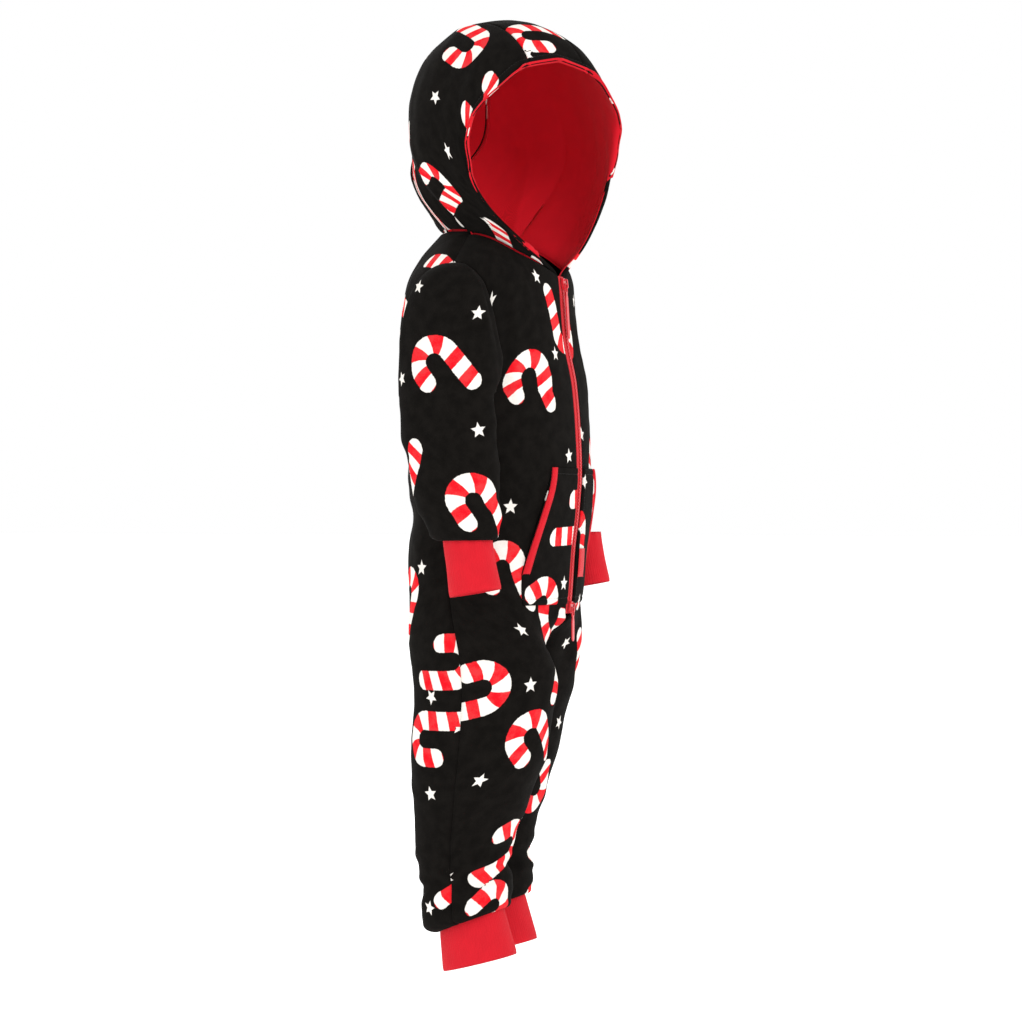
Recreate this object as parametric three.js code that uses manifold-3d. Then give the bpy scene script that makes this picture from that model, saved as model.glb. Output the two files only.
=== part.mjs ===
import * as THREE from "three";
import { mergeVertices } from "three/addons/utils/BufferGeometryUtils.js";
import Module from "manifold-3d";

const kernel = await Module();
kernel.setup();

// A child's hooded onesie in fleece with a full-length zip, worn and standing.
// Millimetres, +Z up, the front faces -Y and the wearer's right is -X.
// Height 0 is where the shoulders hold the garment up.

// Cloth
const wall = 1.6;
const liningWall = 1.2;
const ribWall = 2.0;
const seamGap = 0.3;
const hoodSeamGap = 0.6;
const sideGapTurn = 0.0015;
const sleeveGapTurn = 0.0045;
const laidOn = 0.8;
const liningGap = 0.7;

// Neck and shoulders
const neckHalfWidth = 78;
const neckSideHeight = 21;
const shoulderTipX = 125;
const shoulderTipHeight = -13;
const ridgeY = 8;
const underarmHeight = -155;

// Torso sections are superellipses about this line
const sideSeamY = 8;
const roundness = 2.15;

// Legs
const legSplitTop = -345;
const crotchHeight = -458;
const thighDrape = 34;
const hemRollTop = -748;
const hemRollDrop = 13;
const hemRise = 30;

const ankleTop = -746;
const ankleBottom = -801;

// Sleeves
const sleeveHemTop = -310;
const sleeveHemDrop = 11;
const wristTop = -312;
const wristBottom = -380;

// Zip
const zipHalfWidth = 9;
const zipBottom = -402;
const zipTaper = 10;
const tapeWall = 1.2;

// Zip sliders: the height of each, its pull's length and how far the pull leans from upright
const sliderGap = 0.5;
const plateThick = 2.6;
const bridgeWidth = 2.4;
const pullThick = 1.4;
const pullAhead = 3.9;
const sliders = [
  { word: "top", height: -32, length: 62, lean: -0.06 },
  { word: "bottom", height: -395, length: 38, lean: 0 },
];

// Hood
const hoodCentre = { x: 0, y: -18.6 };
const hoodYaw = (-37 * Math.PI) / 180;
const hoodTwistHeight = 125;
const openingBow = 25;
const stripHalfWidth = 37;
const openingTurn = 6.63;
const hoodFrontSpan = 62;
const napeTurn = 141.36;
const hoopRoundness = 0.84;
const liningShows = 0.9;

// Pocket
const pocketTop = -239;
const pocketSlantEnd = -356;
const pocketBottom = -391;
const pocketTopEdge = 70;
const pocketSideEdge = 100;
const pocketWall = 1.4;
const bindingWidth = 8.5;
const bindingWall = 1.2;

// Woven tab on the left pocket beside the zip
const labelStart = 11.5;
const labelWidth = 24;
const labelTop = -329;
const labelDrop = 32;
const labelWall = 1.0;

const colours = {
  fleece: { color: "#1c1a19", roughness: 0.95, metalness: 0 },
  lining: { color: "#d3142b", roughness: 0.92, metalness: 0 },
  rib: { color: "#e02c38", roughness: 0.9, metalness: 0 },
  tape: { color: "#dc2a37", roughness: 0.75, metalness: 0 },
  slider: { color: "#d3222f", roughness: 0.4, metalness: 0.2 },
};

// Centre-front, centre-back and half-width of the torso by height
const torso = [
  { z: 60, front: -52, back: 56, half: 122 },
  { z: 28, front: -58, back: 68, half: 124 },
  { z: 0, front: -66, back: 83, half: 127 },
  { z: -26, front: -74, back: 94, half: 131 },
  { z: -60, front: -77, back: 102, half: 135 },
  { z: -95, front: -80, back: 105, half: 138 },
  { z: -146, front: -90, back: 99, half: 140 },
  { z: -190, front: -94, back: 96, half: 140 },
  { z: -240, front: -96, back: 92, half: 139 },
  { z: -288, front: -93, back: 89, half: 138 },
  { z: -330, front: -88, back: 93, half: 140 },
  { z: -373, front: -85, back: 92, half: 143 },
  { z: -410, front: -82, back: 88, half: 144 },
  { z: -450, front: -80, back: 86, half: 145 },
];

// Leg sections: centre, half-width and half-depth; set_back is how far the left leg stands behind
const leg = [
  { z: -340, x: 71.5, y: 2, half: 71.35, depth: 84, set_back: 0 },
  { z: -380, x: 71.5, y: 1, half: 71.35, depth: 83, set_back: 3 },
  { z: -415, x: 71.5, y: -2, half: 71.35, depth: 82, set_back: 11 },
  { z: -458, x: 71.5, y: -6, half: 71.1, depth: 81.3, set_back: 24 },
  { z: -484, x: 72.4, y: -7.5, half: 69.8, depth: 80.8, set_back: 31 },
  { z: -515, x: 72, y: -5, half: 67, depth: 78.5, set_back: 34 },
  { z: -560, x: 71, y: 0, half: 64, depth: 75.5, set_back: 34 },
  { z: -595, x: 69, y: 6, half: 60, depth: 67.5, set_back: 30 },
  { z: -632, x: 66.5, y: 11, half: 56, depth: 62, set_back: 26 },
  { z: -668, x: 64, y: 16, half: 52, depth: 55.5, set_back: 21 },
  { z: -680, x: 63, y: 17, half: 50, depth: 52.5, set_back: 20 },
  { z: -695, x: 62.5, y: 17.5, half: 50, depth: 51.5, set_back: 20 },
  { z: -708, x: 62, y: 18.5, half: 46, depth: 45, set_back: 19 },
  { z: -714, x: 61.8, y: 17.5, half: 46.5, depth: 46, set_back: 19 },
  { z: -727, x: 61.5, y: 16.5, half: 49.5, depth: 50.5, set_back: 19 },
  { z: -740, x: 61, y: 16.5, half: 49.5, depth: 50, set_back: 19 },
  { z: -760, x: 61, y: 16, half: 48, depth: 48.5, set_back: 19 },
];

// Ankle cuff sections, which follow the leg's own set_back; rise is how much higher the front is
const ankle = [
  { z: -738, x: 61, y: 14, half: 35, depth: 34, rise: 30 },
  { z: -764, x: 60.5, y: 9.5, half: 35.5, depth: 36.5, rise: 30 },
  { z: -801, x: 60, y: 1, half: 37.5, depth: 42, rise: 22 },
];

// Cap rows of the sleeve: down is the share of the armhole's drop, crest is its outermost point
// and set_back is how far the left arm hangs behind the right one
const cap = [
  { down: 0.012, crest: 127, crest_z: -14, depth: 12, y: 8, wrap: 90, set_back: 0 },
  { down: 0.05, crest: 141, crest_z: -18, depth: 24, y: 8, wrap: 90, set_back: 0 },
  { down: 0.11, crest: 154, crest_z: -26, depth: 36, y: 8, wrap: 88, set_back: 1 },
  { down: 0.2, crest: 166, crest_z: -41, depth: 46, y: 7, wrap: 84, set_back: 3 },
  { down: 0.32, crest: 176, crest_z: -62, depth: 52, y: 6, wrap: 76, set_back: 6 },
  { down: 0.45, crest: 185, crest_z: -88, depth: 54.5, y: 4, wrap: 64, set_back: 10 },
  { down: 0.58, crest: 192, crest_z: -112, depth: 55.5, y: 2, wrap: 54, set_back: 12.5 },
  { down: 0.7, crest: 198, crest_z: -133, depth: 55.5, y: 0, wrap: 46, set_back: 14.5 },
  { down: 0.8, crest: 203, crest_z: -148, depth: 55, y: -1, wrap: 38, set_back: 16 },
  { down: 0.9, crest: 207, crest_z: -163, depth: 54.5, y: -3, wrap: 26, set_back: 17 },
  { down: 1, crest: 210, crest_z: -178, depth: 54, y: -4, wrap: 3, set_back: 18 },
];

// Sleeve tube below the underarm; lean is how much lower the outside of a row lies
const sleeve = [
  { z: -155, x: 175, y: -4, half: 35, depth: 54, lean: 23, set_back: 18 },
  { z: -206, x: 178, y: -8, half: 38, depth: 52, lean: 10, set_back: 22 },
  { z: -243, x: 180, y: -14, half: 38, depth: 49.5, lean: 4, set_back: 25 },
  { z: -279, x: 183, y: -19.5, half: 36, depth: 46.5, lean: 0, set_back: 30 },
  { z: -297, x: 185, y: -24.5, half: 34, depth: 42.5, lean: 0, set_back: 32 },
  { z: -310, x: 185.5, y: -27, half: 31, depth: 38.5, lean: 0, set_back: 33 },
  { z: -330, x: 186, y: -29, half: 28, depth: 33, lean: 0, set_back: 34 },
];

const wrist = [
  { z: -304, x: 186, y: -29, half: 24, depth: 27, rise: 0, set_back: 33 },
  { z: -340, x: 186, y: -35, half: 24, depth: 27, rise: 3, set_back: 36 },
  { z: -380, x: 186, y: -41, half: 25.5, depth: 28.5, rise: 10, set_back: 38 },
];

// Height of the neck seam by the angle round the neck, from the front
const neckline = [
  { turn: 0, z: -25 },
  { turn: 30, z: -15 },
  { turn: 60, z: -1 },
  { turn: 90, z: 21 },
  { turn: 120, z: 26 },
  { turn: 150, z: 28 },
  { turn: 180, z: 28 },
];

const neckStops = [
  6.63, 18.54, 30.45, 42.36, 54.27, 66.18, 78.09, 90, 102.84, 115.68, 128.52, 141.36, 154.2,
  167.05, 179.89,
];

// Armhole edge by its share of the drop
const armhole = [
  { down: 0, x: 125, z: -13 },
  { down: 0.2, x: 122.5, z: -41 },
  { down: 0.45, x: 121, z: -80 },
  { down: 0.7, x: 121.5, z: -114 },
  { down: 0.85, x: 128, z: -137 },
  { down: 0.93, x: 134.5, z: -148 },
  { down: 1, x: 140, z: -155 },
];

// Face opening of the hood from the top to the zip, before the hood turns on the neck
const faceOpening = [
  { down: 0, z: 212, half: 0, ahead: 90 },
  { down: 0.14, z: 200, half: 49, ahead: 86.5 },
  { down: 0.22, z: 184, half: 71, ahead: 81.5 },
  { down: 0.31, z: 162, half: 92, ahead: 71 },
  { down: 0.38, z: 142, half: 101, ahead: 61 },
  { down: 0.45, z: 120, half: 101, ahead: 54 },
  { down: 0.53, z: 96, half: 96, ahead: 52 },
  { down: 0.65, z: 63, half: 88, ahead: 50 },
  { down: 0.77, z: 31, half: 77, ahead: 49 },
  { down: 0.87, z: 6, half: 59, ahead: 50 },
  { down: 1, z: -22, half: 9.5, ahead: 54 },
];

// Hoops of the hood by the angle round the neck where they stand: the crown point and the
// widest half-width
const hoops = [
  { turn: 6.63, ahead: 90, z: 212, half: 100 },
  { turn: 18, ahead: 77, z: 231, half: 104 },
  { turn: 30, ahead: 59, z: 248, half: 107 },
  { turn: 42, ahead: 37, z: 260, half: 109 },
  { turn: 54, ahead: 12, z: 267, half: 110 },
  { turn: 66, ahead: -14, z: 270, half: 113 },
  { turn: 78, ahead: -40, z: 269, half: 114 },
  { turn: 90, ahead: -70, z: 262, half: 109 },
  { turn: 97, ahead: -90, z: 253, half: 102 },
  { turn: 103, ahead: -107, z: 239, half: 95 },
  { turn: 109, ahead: -119, z: 216, half: 87 },
  { turn: 116, ahead: -123, z: 180, half: 79 },
  { turn: 122, ahead: -119, z: 143, half: 73 },
  { turn: 129, ahead: -112, z: 104, half: 68 },
  { turn: 135, ahead: -103, z: 67, half: 62 },
  { turn: 141.36, ahead: -96, z: 28, half: 54 },
];

// Large soft folds of body and legs: the side they are on (-1 right, 1 left, 0 both), the angle
// from the front, the height, their length and width, their slant and how far they stand out
const folds = [
  { side: 0, angle: 35, z: -250, length: 60, width: 26, slant: 55, height: 2.5 },
  { side: 0, angle: 62, z: -215, length: 70, width: 20, slant: 25, height: 2.5 },
  { side: -1, angle: 30, z: -120, length: 55, width: 20, slant: 18, height: 2.2 },
  { side: 1, angle: 24, z: -130, length: 60, width: 22, slant: -14, height: 2 },
  { side: 0, angle: 150, z: -205, length: 30, width: 24, slant: 80, height: -3 },
  { side: 0, angle: 140, z: -300, length: 32, width: 26, slant: 82, height: -3 },
  { side: -1, angle: 160, z: -250, length: 34, width: 22, slant: 86, height: 3 },
  { side: 1, angle: 160, z: -255, length: 34, width: 24, slant: -84, height: 2.5 },
  { side: -1, angle: 60, z: -440, length: 70, width: 24, slant: 40, height: 3 },
  { side: 1, angle: 45, z: -450, length: 75, width: 26, slant: -30, height: 3 },
  { side: -1, angle: 120, z: -480, length: 60, width: 26, slant: -35, height: -3 },
  { side: 1, angle: 125, z: -490, length: 62, width: 26, slant: 32, height: -3 },
  { side: -1, angle: 75, z: -590, length: 55, width: 22, slant: 50, height: 2.5 },
  { side: 1, angle: 80, z: -600, length: 58, width: 22, slant: -46, height: 2.5 },
  { side: 0, angle: 165, z: -600, length: 50, width: 20, slant: 60, height: -2.5 },
  { side: -1, angle: 40, z: -650, length: 36, width: 18, slant: 70, height: -2.5 },
  { side: 1, angle: 50, z: -652, length: 34, width: 18, slant: -68, height: -2.5 },
];

// Smooth reading of a table between its rows
function read(table, key, column, at) {
  const rising = table[1][key] > table[0][key] ? 1 : -1;
  let i = 0;
  while (i < table.length - 2 && (at - table[i + 1][key]) * rising > 0) {
    i += 1;
  }
  const slope = (a, b) => (table[b][column] - table[a][column]) / (table[b][key] - table[a][key]);
  const span = table[i + 1][key] - table[i][key];
  const share = (at - table[i][key]) / span;
  const here = slope(i, i + 1);
  if (share <= 0 || share >= 1) {
    const edge = share <= 0 ? 0 : 1;
    return table[i + edge][column] + here * (at - table[i + edge][key]);
  }
  const before = i > 0 ? slope(i - 1, i) : here;
  const after = i < table.length - 2 ? slope(i + 1, i + 2) : here;
  const calm = (a, b) => (a * b > 0 ? (2 * a * b) / (a + b) : 0);
  const startSlope = i > 0 ? calm(before, here) : here;
  const endSlope = i < table.length - 2 ? calm(here, after) : here;
  const s2 = share * share;
  const s3 = s2 * share;
  return (
    table[i][column] * (2 * s3 - 3 * s2 + 1) +
    startSlope * span * (s3 - 2 * s2 + share) +
    table[i + 1][column] * (3 * s2 - 2 * s3) +
    endSlope * span * (s3 - s2)
  );
}

const mix = (a, b, share) => a + (b - a) * share;
const limit = (value, low, high) => Math.min(high, Math.max(low, value));
const ease = (low, high, value) => {
  const share = limit((value - low) / (high - low), 0, 1);
  return share * share * (3 - 2 * share);
};
const radians = (degrees) => (degrees * Math.PI) / 180;
const power = (value, exponent) => Math.sign(value) * Math.abs(value) ** exponent;
const setBackOf = (side, table, key, at) => (side > 0 ? read(table, key, "set_back", at) : 0);

// How far the large folds push the cloth out at an angle round the body and a height
function foldHeight(side, angle, z) {
  const armLength = 105;
  let total = 0;
  for (const fold of folds) {
    if (fold.side !== 0 && fold.side !== side) continue;
    const around = radians(angle - fold.angle) * armLength;
    const up = z - fold.z;
    const turn = radians(fold.slant);
    const along = up * Math.cos(turn) + around * Math.sin(turn);
    const across = around * Math.cos(turn) - up * Math.sin(turn);
    const fade = Math.exp(-((along / fold.length) ** 2) - (across / fold.width) ** 2);
    total += fold.height * fade;
  }
  return total;
}

// Height of the shoulder ridge, which runs on as a line inside the neck
function ridgeHeight(x) {
  const slope = (neckSideHeight - shoulderTipHeight) / (shoulderTipX - neckHalfWidth);
  return neckSideHeight - (x - neckHalfWidth) * slope;
}

// Depth of the torso surface for a place across and a height; face is -1 front, 1 back
function torsoY(face, x, z) {
  const half = read(torso, "z", "half", z);
  const centre = read(torso, "z", face < 0 ? "front" : "back", z);
  const across = limit(Math.abs(x) / half, 0, 1);
  const curve = (1 - across ** roundness) ** (1 / roundness);
  const below = Math.max(0, ridgeHeight(Math.abs(x)) - z);
  const bend = mix(60, 30, limit((Math.abs(x) - neckHalfWidth) / 47, 0, 1));
  const turn = 1 - limit(1 - below / bend, 0, 1) ** 2;
  return sideSeamY + (centre - sideSeamY) * curve * Math.sqrt(turn);
}

// A point of the neck seam; turn is the angle from the front, and the seam runs straight
// between the stops that the panels share with the hood
function neckPoint(side, turn) {
  const stopAt = (angle) => {
    const x = neckHalfWidth * Math.sin(radians(angle));
    const z = read(neckline, "turn", "z", angle);
    return new THREE.Vector3(side * x, torsoY(angle <= 90 ? -1 : 1, x, z), z);
  };
  let i = 0;
  while (i < neckStops.length - 2 && turn > neckStops[i + 1]) {
    i += 1;
  }
  const share = (turn - neckStops[i]) / (neckStops[i + 1] - neckStops[i]);
  return stopAt(neckStops[i]).lerp(stopAt(neckStops[i + 1]), share);
}

// Where the centre edge of a panel lies: beside the zip in front, at the seam elsewhere
function centreX(face, z) {
  if (face > 0) return seamGap / 2;
  return mix(zipHalfWidth, seamGap / 2, ease(zipBottom, zipBottom - zipTaper, z));
}

// Upper body, from neckline and shoulder down to the underarm
const neckShare = 7 / 12;
function upperPoint(side, face, across, down) {
  const startTurn = (Math.asin(centreX(face, 0) / neckHalfWidth) * 180) / Math.PI;
  const topEdge = (u) => {
    if (u <= neckShare) {
      const turn = mix(startTurn, 90, u / neckShare);
      const z = read(neckline, "turn", "z", face < 0 ? turn : 180 - turn);
      return [neckHalfWidth * Math.sin(radians(turn)), z];
    }
    const share = (u - neckShare) / (1 - neckShare);
    return [
      mix(neckHalfWidth, shoulderTipX, share),
      mix(neckSideHeight, shoulderTipHeight, share),
    ];
  };
  const bottomEdge = (u) => {
    const half = read(torso, "z", "half", underarmHeight);
    const start = Math.asin((centreX(face, 0) / half) ** (roundness / 2));
    const turn = mix(start, Math.PI / 2, u);
    return [half * Math.sin(turn) ** (2 / roundness), underarmHeight];
  };
  const centreEdge = (v) => [centreX(face, 0), mix(topEdge(0)[1], underarmHeight, v)];
  const armEdge = (v) => [
    read(armhole, "down", "x", v),
    read(armhole, "down", "z", v),
  ];
  const [u, v] = [across, down];
  const place = [0, 1].map(
    (i) =>
      mix(topEdge(u)[i], bottomEdge(u)[i], v) +
      mix(centreEdge(v)[i], armEdge(v)[i], u) -
      mix(
        mix(topEdge(0)[i], topEdge(1)[i], u),
        mix(bottomEdge(0)[i], bottomEdge(1)[i], u),
        v,
      ),
  );
  return torsoPoint(side, face, place[0], place[1]);
}

// A point of the torso surface with its folds
function torsoPoint(side, face, x, z) {
  const half = read(torso, "z", "half", z);
  const turn = Math.asin(limit(x / half, 0, 1));
  const angle = face < 0 ? (turn * 180) / Math.PI : 180 - (turn * 180) / Math.PI;
  const calm = ease(-30, -90, z) * ease(0, 12, ridgeHeight(x) - z);
  const push = foldHeight(side, angle, z) * calm * (1 - ease(0.8, 1, x / half));
  const y = torsoY(face, x, z);
  const ridgeGap = Math.abs(y - ridgeY) < seamGap / 2 ? face * (seamGap / 2) : 0;
  return new THREE.Vector3(side * x, y + face * push + ridgeGap, z);
}

// Leg section with its blousing hem; turn runs from the inseam (0) to the side seam (180)
function legPoint(side, face, turn, z) {
  const seamed = mix(ease(0, 0.4, turn / Math.PI), 1, ease(crotchHeight, crotchHeight - 45, z));
  const back = setBackOf(side, leg, "z", z) * seamed;
  const half = read(leg, "z", "half", z);
  const depth = read(leg, "z", "depth", z);
  const x = read(leg, "z", "x", z) - half * power(Math.cos(turn), 2 / roundness);
  const y = read(leg, "z", "y", z) + back + face * depth * Math.sin(turn) ** (2 / roundness);
  return [x, y];
}

const hemLift = (face, turn) => hemRise * (0.5 - (face * Math.sin(turn)) / 2);

// Panel below the underarm: torso arc, then leg arc, then the roll over the cuff
function lowerPoint(side, face, across, z) {
  const half = read(torso, "z", "half", z);
  const depth = read(torso, "z", face < 0 ? "front" : "back", z) - sideSeamY;
  const start = Math.asin((centreX(face, z) / half) ** (roundness / 2));
  const turn = mix(start, Math.PI / 2 - sideGapTurn, across);
  const torsoArc = [
    half * Math.sin(turn) ** (2 / roundness),
    sideSeamY + depth * Math.cos(turn) ** (2 / roundness),
  ];
  const legTurn = mix(sideGapTurn, Math.PI - sideGapTurn, across);
  const legArc = legPoint(side, face, legTurn, z);
  const settled = crotchHeight - thighDrape * Math.sin(Math.PI * limit(across / 0.6, 0, 1)) ** 2;
  const split = mix(
    ease(zipBottom - 2, settled, z),
    ease(legSplitTop, settled, z),
    ease(0, 0.55, across),
  );
  const angle = face < 0 ? across * 90 : 180 - across * 90;
  const seams = ease(0, 0.2, across) * ease(1, 0.8, across);
  const quiet = 1 - ease(-672, -690, z);
  const push = foldHeight(side, angle, z) * seams * quiet;
  const leanX = mix(Math.sin(turn), -Math.cos(legTurn), split);
  const leanY = mix(Math.cos(turn), Math.sin(legTurn), split);
  const x = mix(torsoArc[0], legArc[0], split) + push * leanX;
  const y = mix(torsoArc[1], legArc[1], split) + face * push * leanY;
  const lift = hemLift(face, legTurn) * ease(-560, -730, z);
  return new THREE.Vector3(side * Math.max(x, seamGap / 2), y, z + lift);
}

// Ankle and wrist cuffs are rings; turn goes all the way round from the inside of the limb
function cuffPoint(table, side, turn, z, setBack) {
  const rise = read(table, "z", "rise", z);
  const x = read(table, "z", "x", z) - read(table, "z", "half", z) * Math.cos(turn);
  const y = read(table, "z", "y", z) + setBack - read(table, "z", "depth", z) * Math.sin(turn);
  return new THREE.Vector3(side * x, y, z + rise * (0.5 + Math.sin(turn) / 2));
}

// Last rows of a leg or sleeve, rolled under to meet the cuff at a point of its outer face
function rollUnder(from, to, middle, drop, share) {
  const away = to.clone().sub(middle).setZ(0).normalize().multiplyScalar(seamGap);
  const meet = to.clone().add(away);
  const inward = 1 - Math.cos((share * Math.PI) / 2);
  const fall = Math.sin((share * Math.PI) / 2);
  const lift = meet.z - (from.z - drop);
  return new THREE.Vector3(
    mix(from.x, meet.x, inward),
    mix(from.y, meet.y, inward),
    from.z - drop * fall + lift * inward,
  );
}

function hemRollPoint(side, face, across, share) {
  const turn = mix(sideGapTurn, Math.PI - sideGapTurn, across);
  const from = lowerPoint(side, face, across, hemRollTop);
  const meetZ = hemRollTop - hemRollDrop + 3;
  const setBack = setBackOf(side, leg, "z", meetZ);
  const to = cuffPoint(ankle, side, -face * turn, meetZ, setBack);
  const middle = new THREE.Vector3(
    side * read(ankle, "z", "x", meetZ),
    read(ankle, "z", "y", meetZ) + setBack,
    0,
  );
  return rollUnder(from, to, middle, hemRollDrop, share);
}

// Whole body panel: down 0..1 upper body, 1..2 to the hem roll, 2..3 the roll
function bodyPoint(side, face, across, down) {
  if (down <= 1) return upperPoint(side, face, across, down);
  if (down <= 2) {
    return lowerPoint(side, face, across, mix(underarmHeight, hemRollTop, down - 1));
  }
  return hemRollPoint(side, face, across, down - 2);
}

// Sleeve: around runs from the front armhole edge over the outside to the back edge
function sleevePoint(side, around, down) {
  if (down <= 1) return capPoint(side, around, down);
  if (down <= 2) {
    return tubePoint(side, around, mix(underarmHeight, sleeveHemTop, down - 1));
  }
  return sleeveRollPoint(side, around, down - 2);
}

function capPoint(side, around, down) {
  const edgeX = read(armhole, "down", "x", down) + seamGap;
  const edgeZ = read(armhole, "down", "z", down);
  const crest = read(cap, "down", "crest", down);
  const crestZ = read(cap, "down", "crest_z", down);
  const depth = read(cap, "down", "depth", down);
  const middle = read(cap, "down", "y", down) + setBackOf(side, cap, "down", down);
  const wrap = radians(read(cap, "down", "wrap", down));
  const turn = mix(wrap, 2 * Math.PI - wrap, around);
  const half = (crest - edgeX) / (1 + Math.cos(wrap));
  const out = (share) => crest - half - half * Math.cos(share);
  const reach = (out(turn) - edgeX) / (crest - edgeX);
  const arch = 1 - Math.sqrt(Math.max(0, 1 - reach * reach));
  const point = new THREE.Vector3(
    out(turn),
    middle - depth * Math.sin(turn),
    mix(edgeZ, crestZ, mix(reach, arch, 0.5)),
  );
  const face = around < 0.5 ? -1 : 1;
  const edge = torsoPoint(side, face, edgeX - seamGap, edgeZ);
  const endY = middle - depth * Math.sin(face < 0 ? wrap : 2 * Math.PI - wrap);
  const fromEnd = face < 0 ? around : 1 - around;
  const hold = limit(1 - fromEnd / 0.36, 0, 1) ** 2;
  point.y += (edge.y - endY) * hold;
  point.x *= side;
  return point;
}

// Half-width of the torso at a depth and height, which the sleeve stays clear of
function torsoX(y, z) {
  const depth = read(torso, "z", y < sideSeamY ? "front" : "back", z) - sideSeamY;
  const share = limit(Math.abs((y - sideSeamY) / depth), 0, 1);
  return read(torso, "z", "half", z) * (1 - share ** roundness) ** (1 / roundness);
}

function tubePoint(side, around, z) {
  const blend = ease(underarmHeight, underarmHeight - 25, z);
  const wrap = mix(radians(3), sleeveGapTurn, blend);
  const turn = mix(wrap, 2 * Math.PI - wrap, around);
  const half = read(sleeve, "z", "half", z);
  const out = read(sleeve, "z", "x", z) - half * Math.cos(turn);
  const lean = read(sleeve, "z", "lean", z) * (0.5 - Math.cos(turn) / 2);
  const middle = read(sleeve, "z", "y", z) + setBackOf(side, sleeve, "z", z);
  const depth = read(sleeve, "z", "depth", z);
  const fromEnd = around < 0.5 ? around : 1 - around;
  const hold = limit(1 - fromEnd / 0.36, 0, 1) ** 2 * (1 - ease(underarmHeight, -215, z));
  const end = middle - depth * Math.sin(around < 0.5 ? wrap : -wrap);
  const y = middle - depth * Math.sin(turn) + (sideSeamY - end) * hold;
  const clear = torsoX(y, z) + 2.2;
  return new THREE.Vector3(side * Math.max(out, clear), y, z - lean);
}

function sleeveRollPoint(side, around, share) {
  const turn = mix(sleeveGapTurn, 2 * Math.PI - sleeveGapTurn, around);
  const from = tubePoint(side, around, sleeveHemTop);
  const meetZ = sleeveHemTop - sleeveHemDrop + 2;
  const setBack = setBackOf(side, wrist, "z", meetZ);
  const to = cuffPoint(wrist, side, turn, meetZ, setBack);
  const middle = new THREE.Vector3(
    side * read(wrist, "z", "x", meetZ),
    read(wrist, "z", "y", meetZ) + setBack,
    0,
  );
  return rollUnder(from, to, middle, sleeveHemDrop, share);
}

// Hood surface: turn is the hoop, down runs from the crown to the neck seam
function hoodPoint(side, turn, down) {
  const foot = neckPoint(side, turn);
  const place = looseHoodPoint(side, turn, down, foot);
  const end = looseHoodPoint(side, turn, 1, foot);
  place.addScaledVector(end.sub(foot), -ease(0.55, 1, down));
  const nape = neckPoint(side, mix(180, turn, limit(down, 0, 1)));
  place.lerp(nape, ease(124, napeTurn, turn));
  place.z += hoodSeamGap * Math.max(ease(0.92, 1, down), ease(136, napeTurn, turn));
  return place;
}

// A hoop of the hood, turned with the head above the neck
function looseHoodPoint(side, turn, down, foot) {
  const crownZ = read(hoops, "turn", "z", turn);
  const crownAhead = read(hoops, "turn", "ahead", turn);
  const bow = openingBow * (1 - ease(openingTurn, 75, turn));
  const half = read(hoops, "turn", "half", turn);
  const endTurn = radians(mix(142, 128, ease(40, 125, turn)));
  const bend = down * endTurn;
  const drop = (1 - Math.cos(bend)) / (1 - Math.cos(endTurn));
  const footAhead = hoodCentre.y - foot.y;
  const start = (turn - openingTurn) / hoodFrontSpan;
  const share = start < 1 ? 1 - (1 - start) ** 2 : 1;
  const open = limit(down, 0, 1);
  const across = mix(
    read(faceOpening, "down", "half", open),
    half * Math.sin(bend) ** hoopRoundness,
    share,
  );
  const ahead = mix(
    read(faceOpening, "down", "ahead", open),
    mix(crownAhead, footAhead, drop ** 1.3) - bow * Math.sin(Math.PI * drop),
    share,
  );
  const z = mix(read(faceOpening, "down", "z", open), mix(crownZ, foot.z, drop), share);
  const raised = Math.sin((limit((z - foot.z) / hoodTwistHeight, 0, 1) * Math.PI) / 2) ** 1.2;
  const yaw = hoodYaw * raised * (1 - ease(116, napeTurn, turn));
  return new THREE.Vector3(
    hoodCentre.x + Math.sin(yaw) * ahead + Math.cos(yaw) * across * side,
    hoodCentre.y - Math.cos(yaw) * ahead + Math.sin(yaw) * across * side,
    z,
  );
}

// Share of the way down a hoop where the crown strip meets the side piece
function stripEdge(turn) {
  const place = (down) => {
    const point = hoodPoint(1, turn, down);
    const other = hoodPoint(-1, turn, down);
    return point.distanceTo(other) / 2;
  };
  let low = 0;
  let high = 0.95;
  for (let i = 0; i < 24; i += 1) {
    const middle = (low + high) / 2;
    if (place(middle) < stripHalfWidth) low = middle;
    else high = middle;
  }
  return (low + high) / 2;
}

// The side pieces of the hood run from the strip to the neck seam
function hoodSidePoint(side, turn, down) {
  const edge = stripEdge(turn) + 0.0012;
  return hoodPoint(side, turn, mix(edge, 1, down));
}

// The crown strip runs from its right edge over the middle to its left edge
function hoodStripPoint(turn, across) {
  const edge = stripEdge(turn) - 0.0012;
  const side = across < 0 ? -1 : 1;
  return hoodPoint(side, turn, Math.max(Math.abs(across), 1e-5) * edge);
}

// Point on the front panel for a place across and a height, with its outward direction
function onFront(side, x, z, away) {
  const at = (px, pz) =>
    pz > underarmHeight ? torsoPoint(side, -1, px, pz) : frontByX(side, px, pz);
  const point = at(x, z);
  const alongX = at(x + 0.5, z).sub(at(x - 0.5, z));
  const alongZ = at(x, z + 0.5).sub(at(x, z - 0.5));
  const normal = alongX.cross(alongZ).normalize();
  if (normal.y > 0) normal.negate();
  return point.add(normal.multiplyScalar(away));
}

// The lower front surface read by its place across
function frontByX(side, x, z) {
  let low = 0;
  let high = 0.95;
  for (let i = 0; i < 30; i += 1) {
    const middle = (low + high) / 2;
    if (Math.abs(lowerPoint(side, -1, middle, z).x) < x) low = middle;
    else high = middle;
  }
  const found = lowerPoint(side, -1, (low + high) / 2, z);
  found.x = side * x;
  return found;
}

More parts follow.
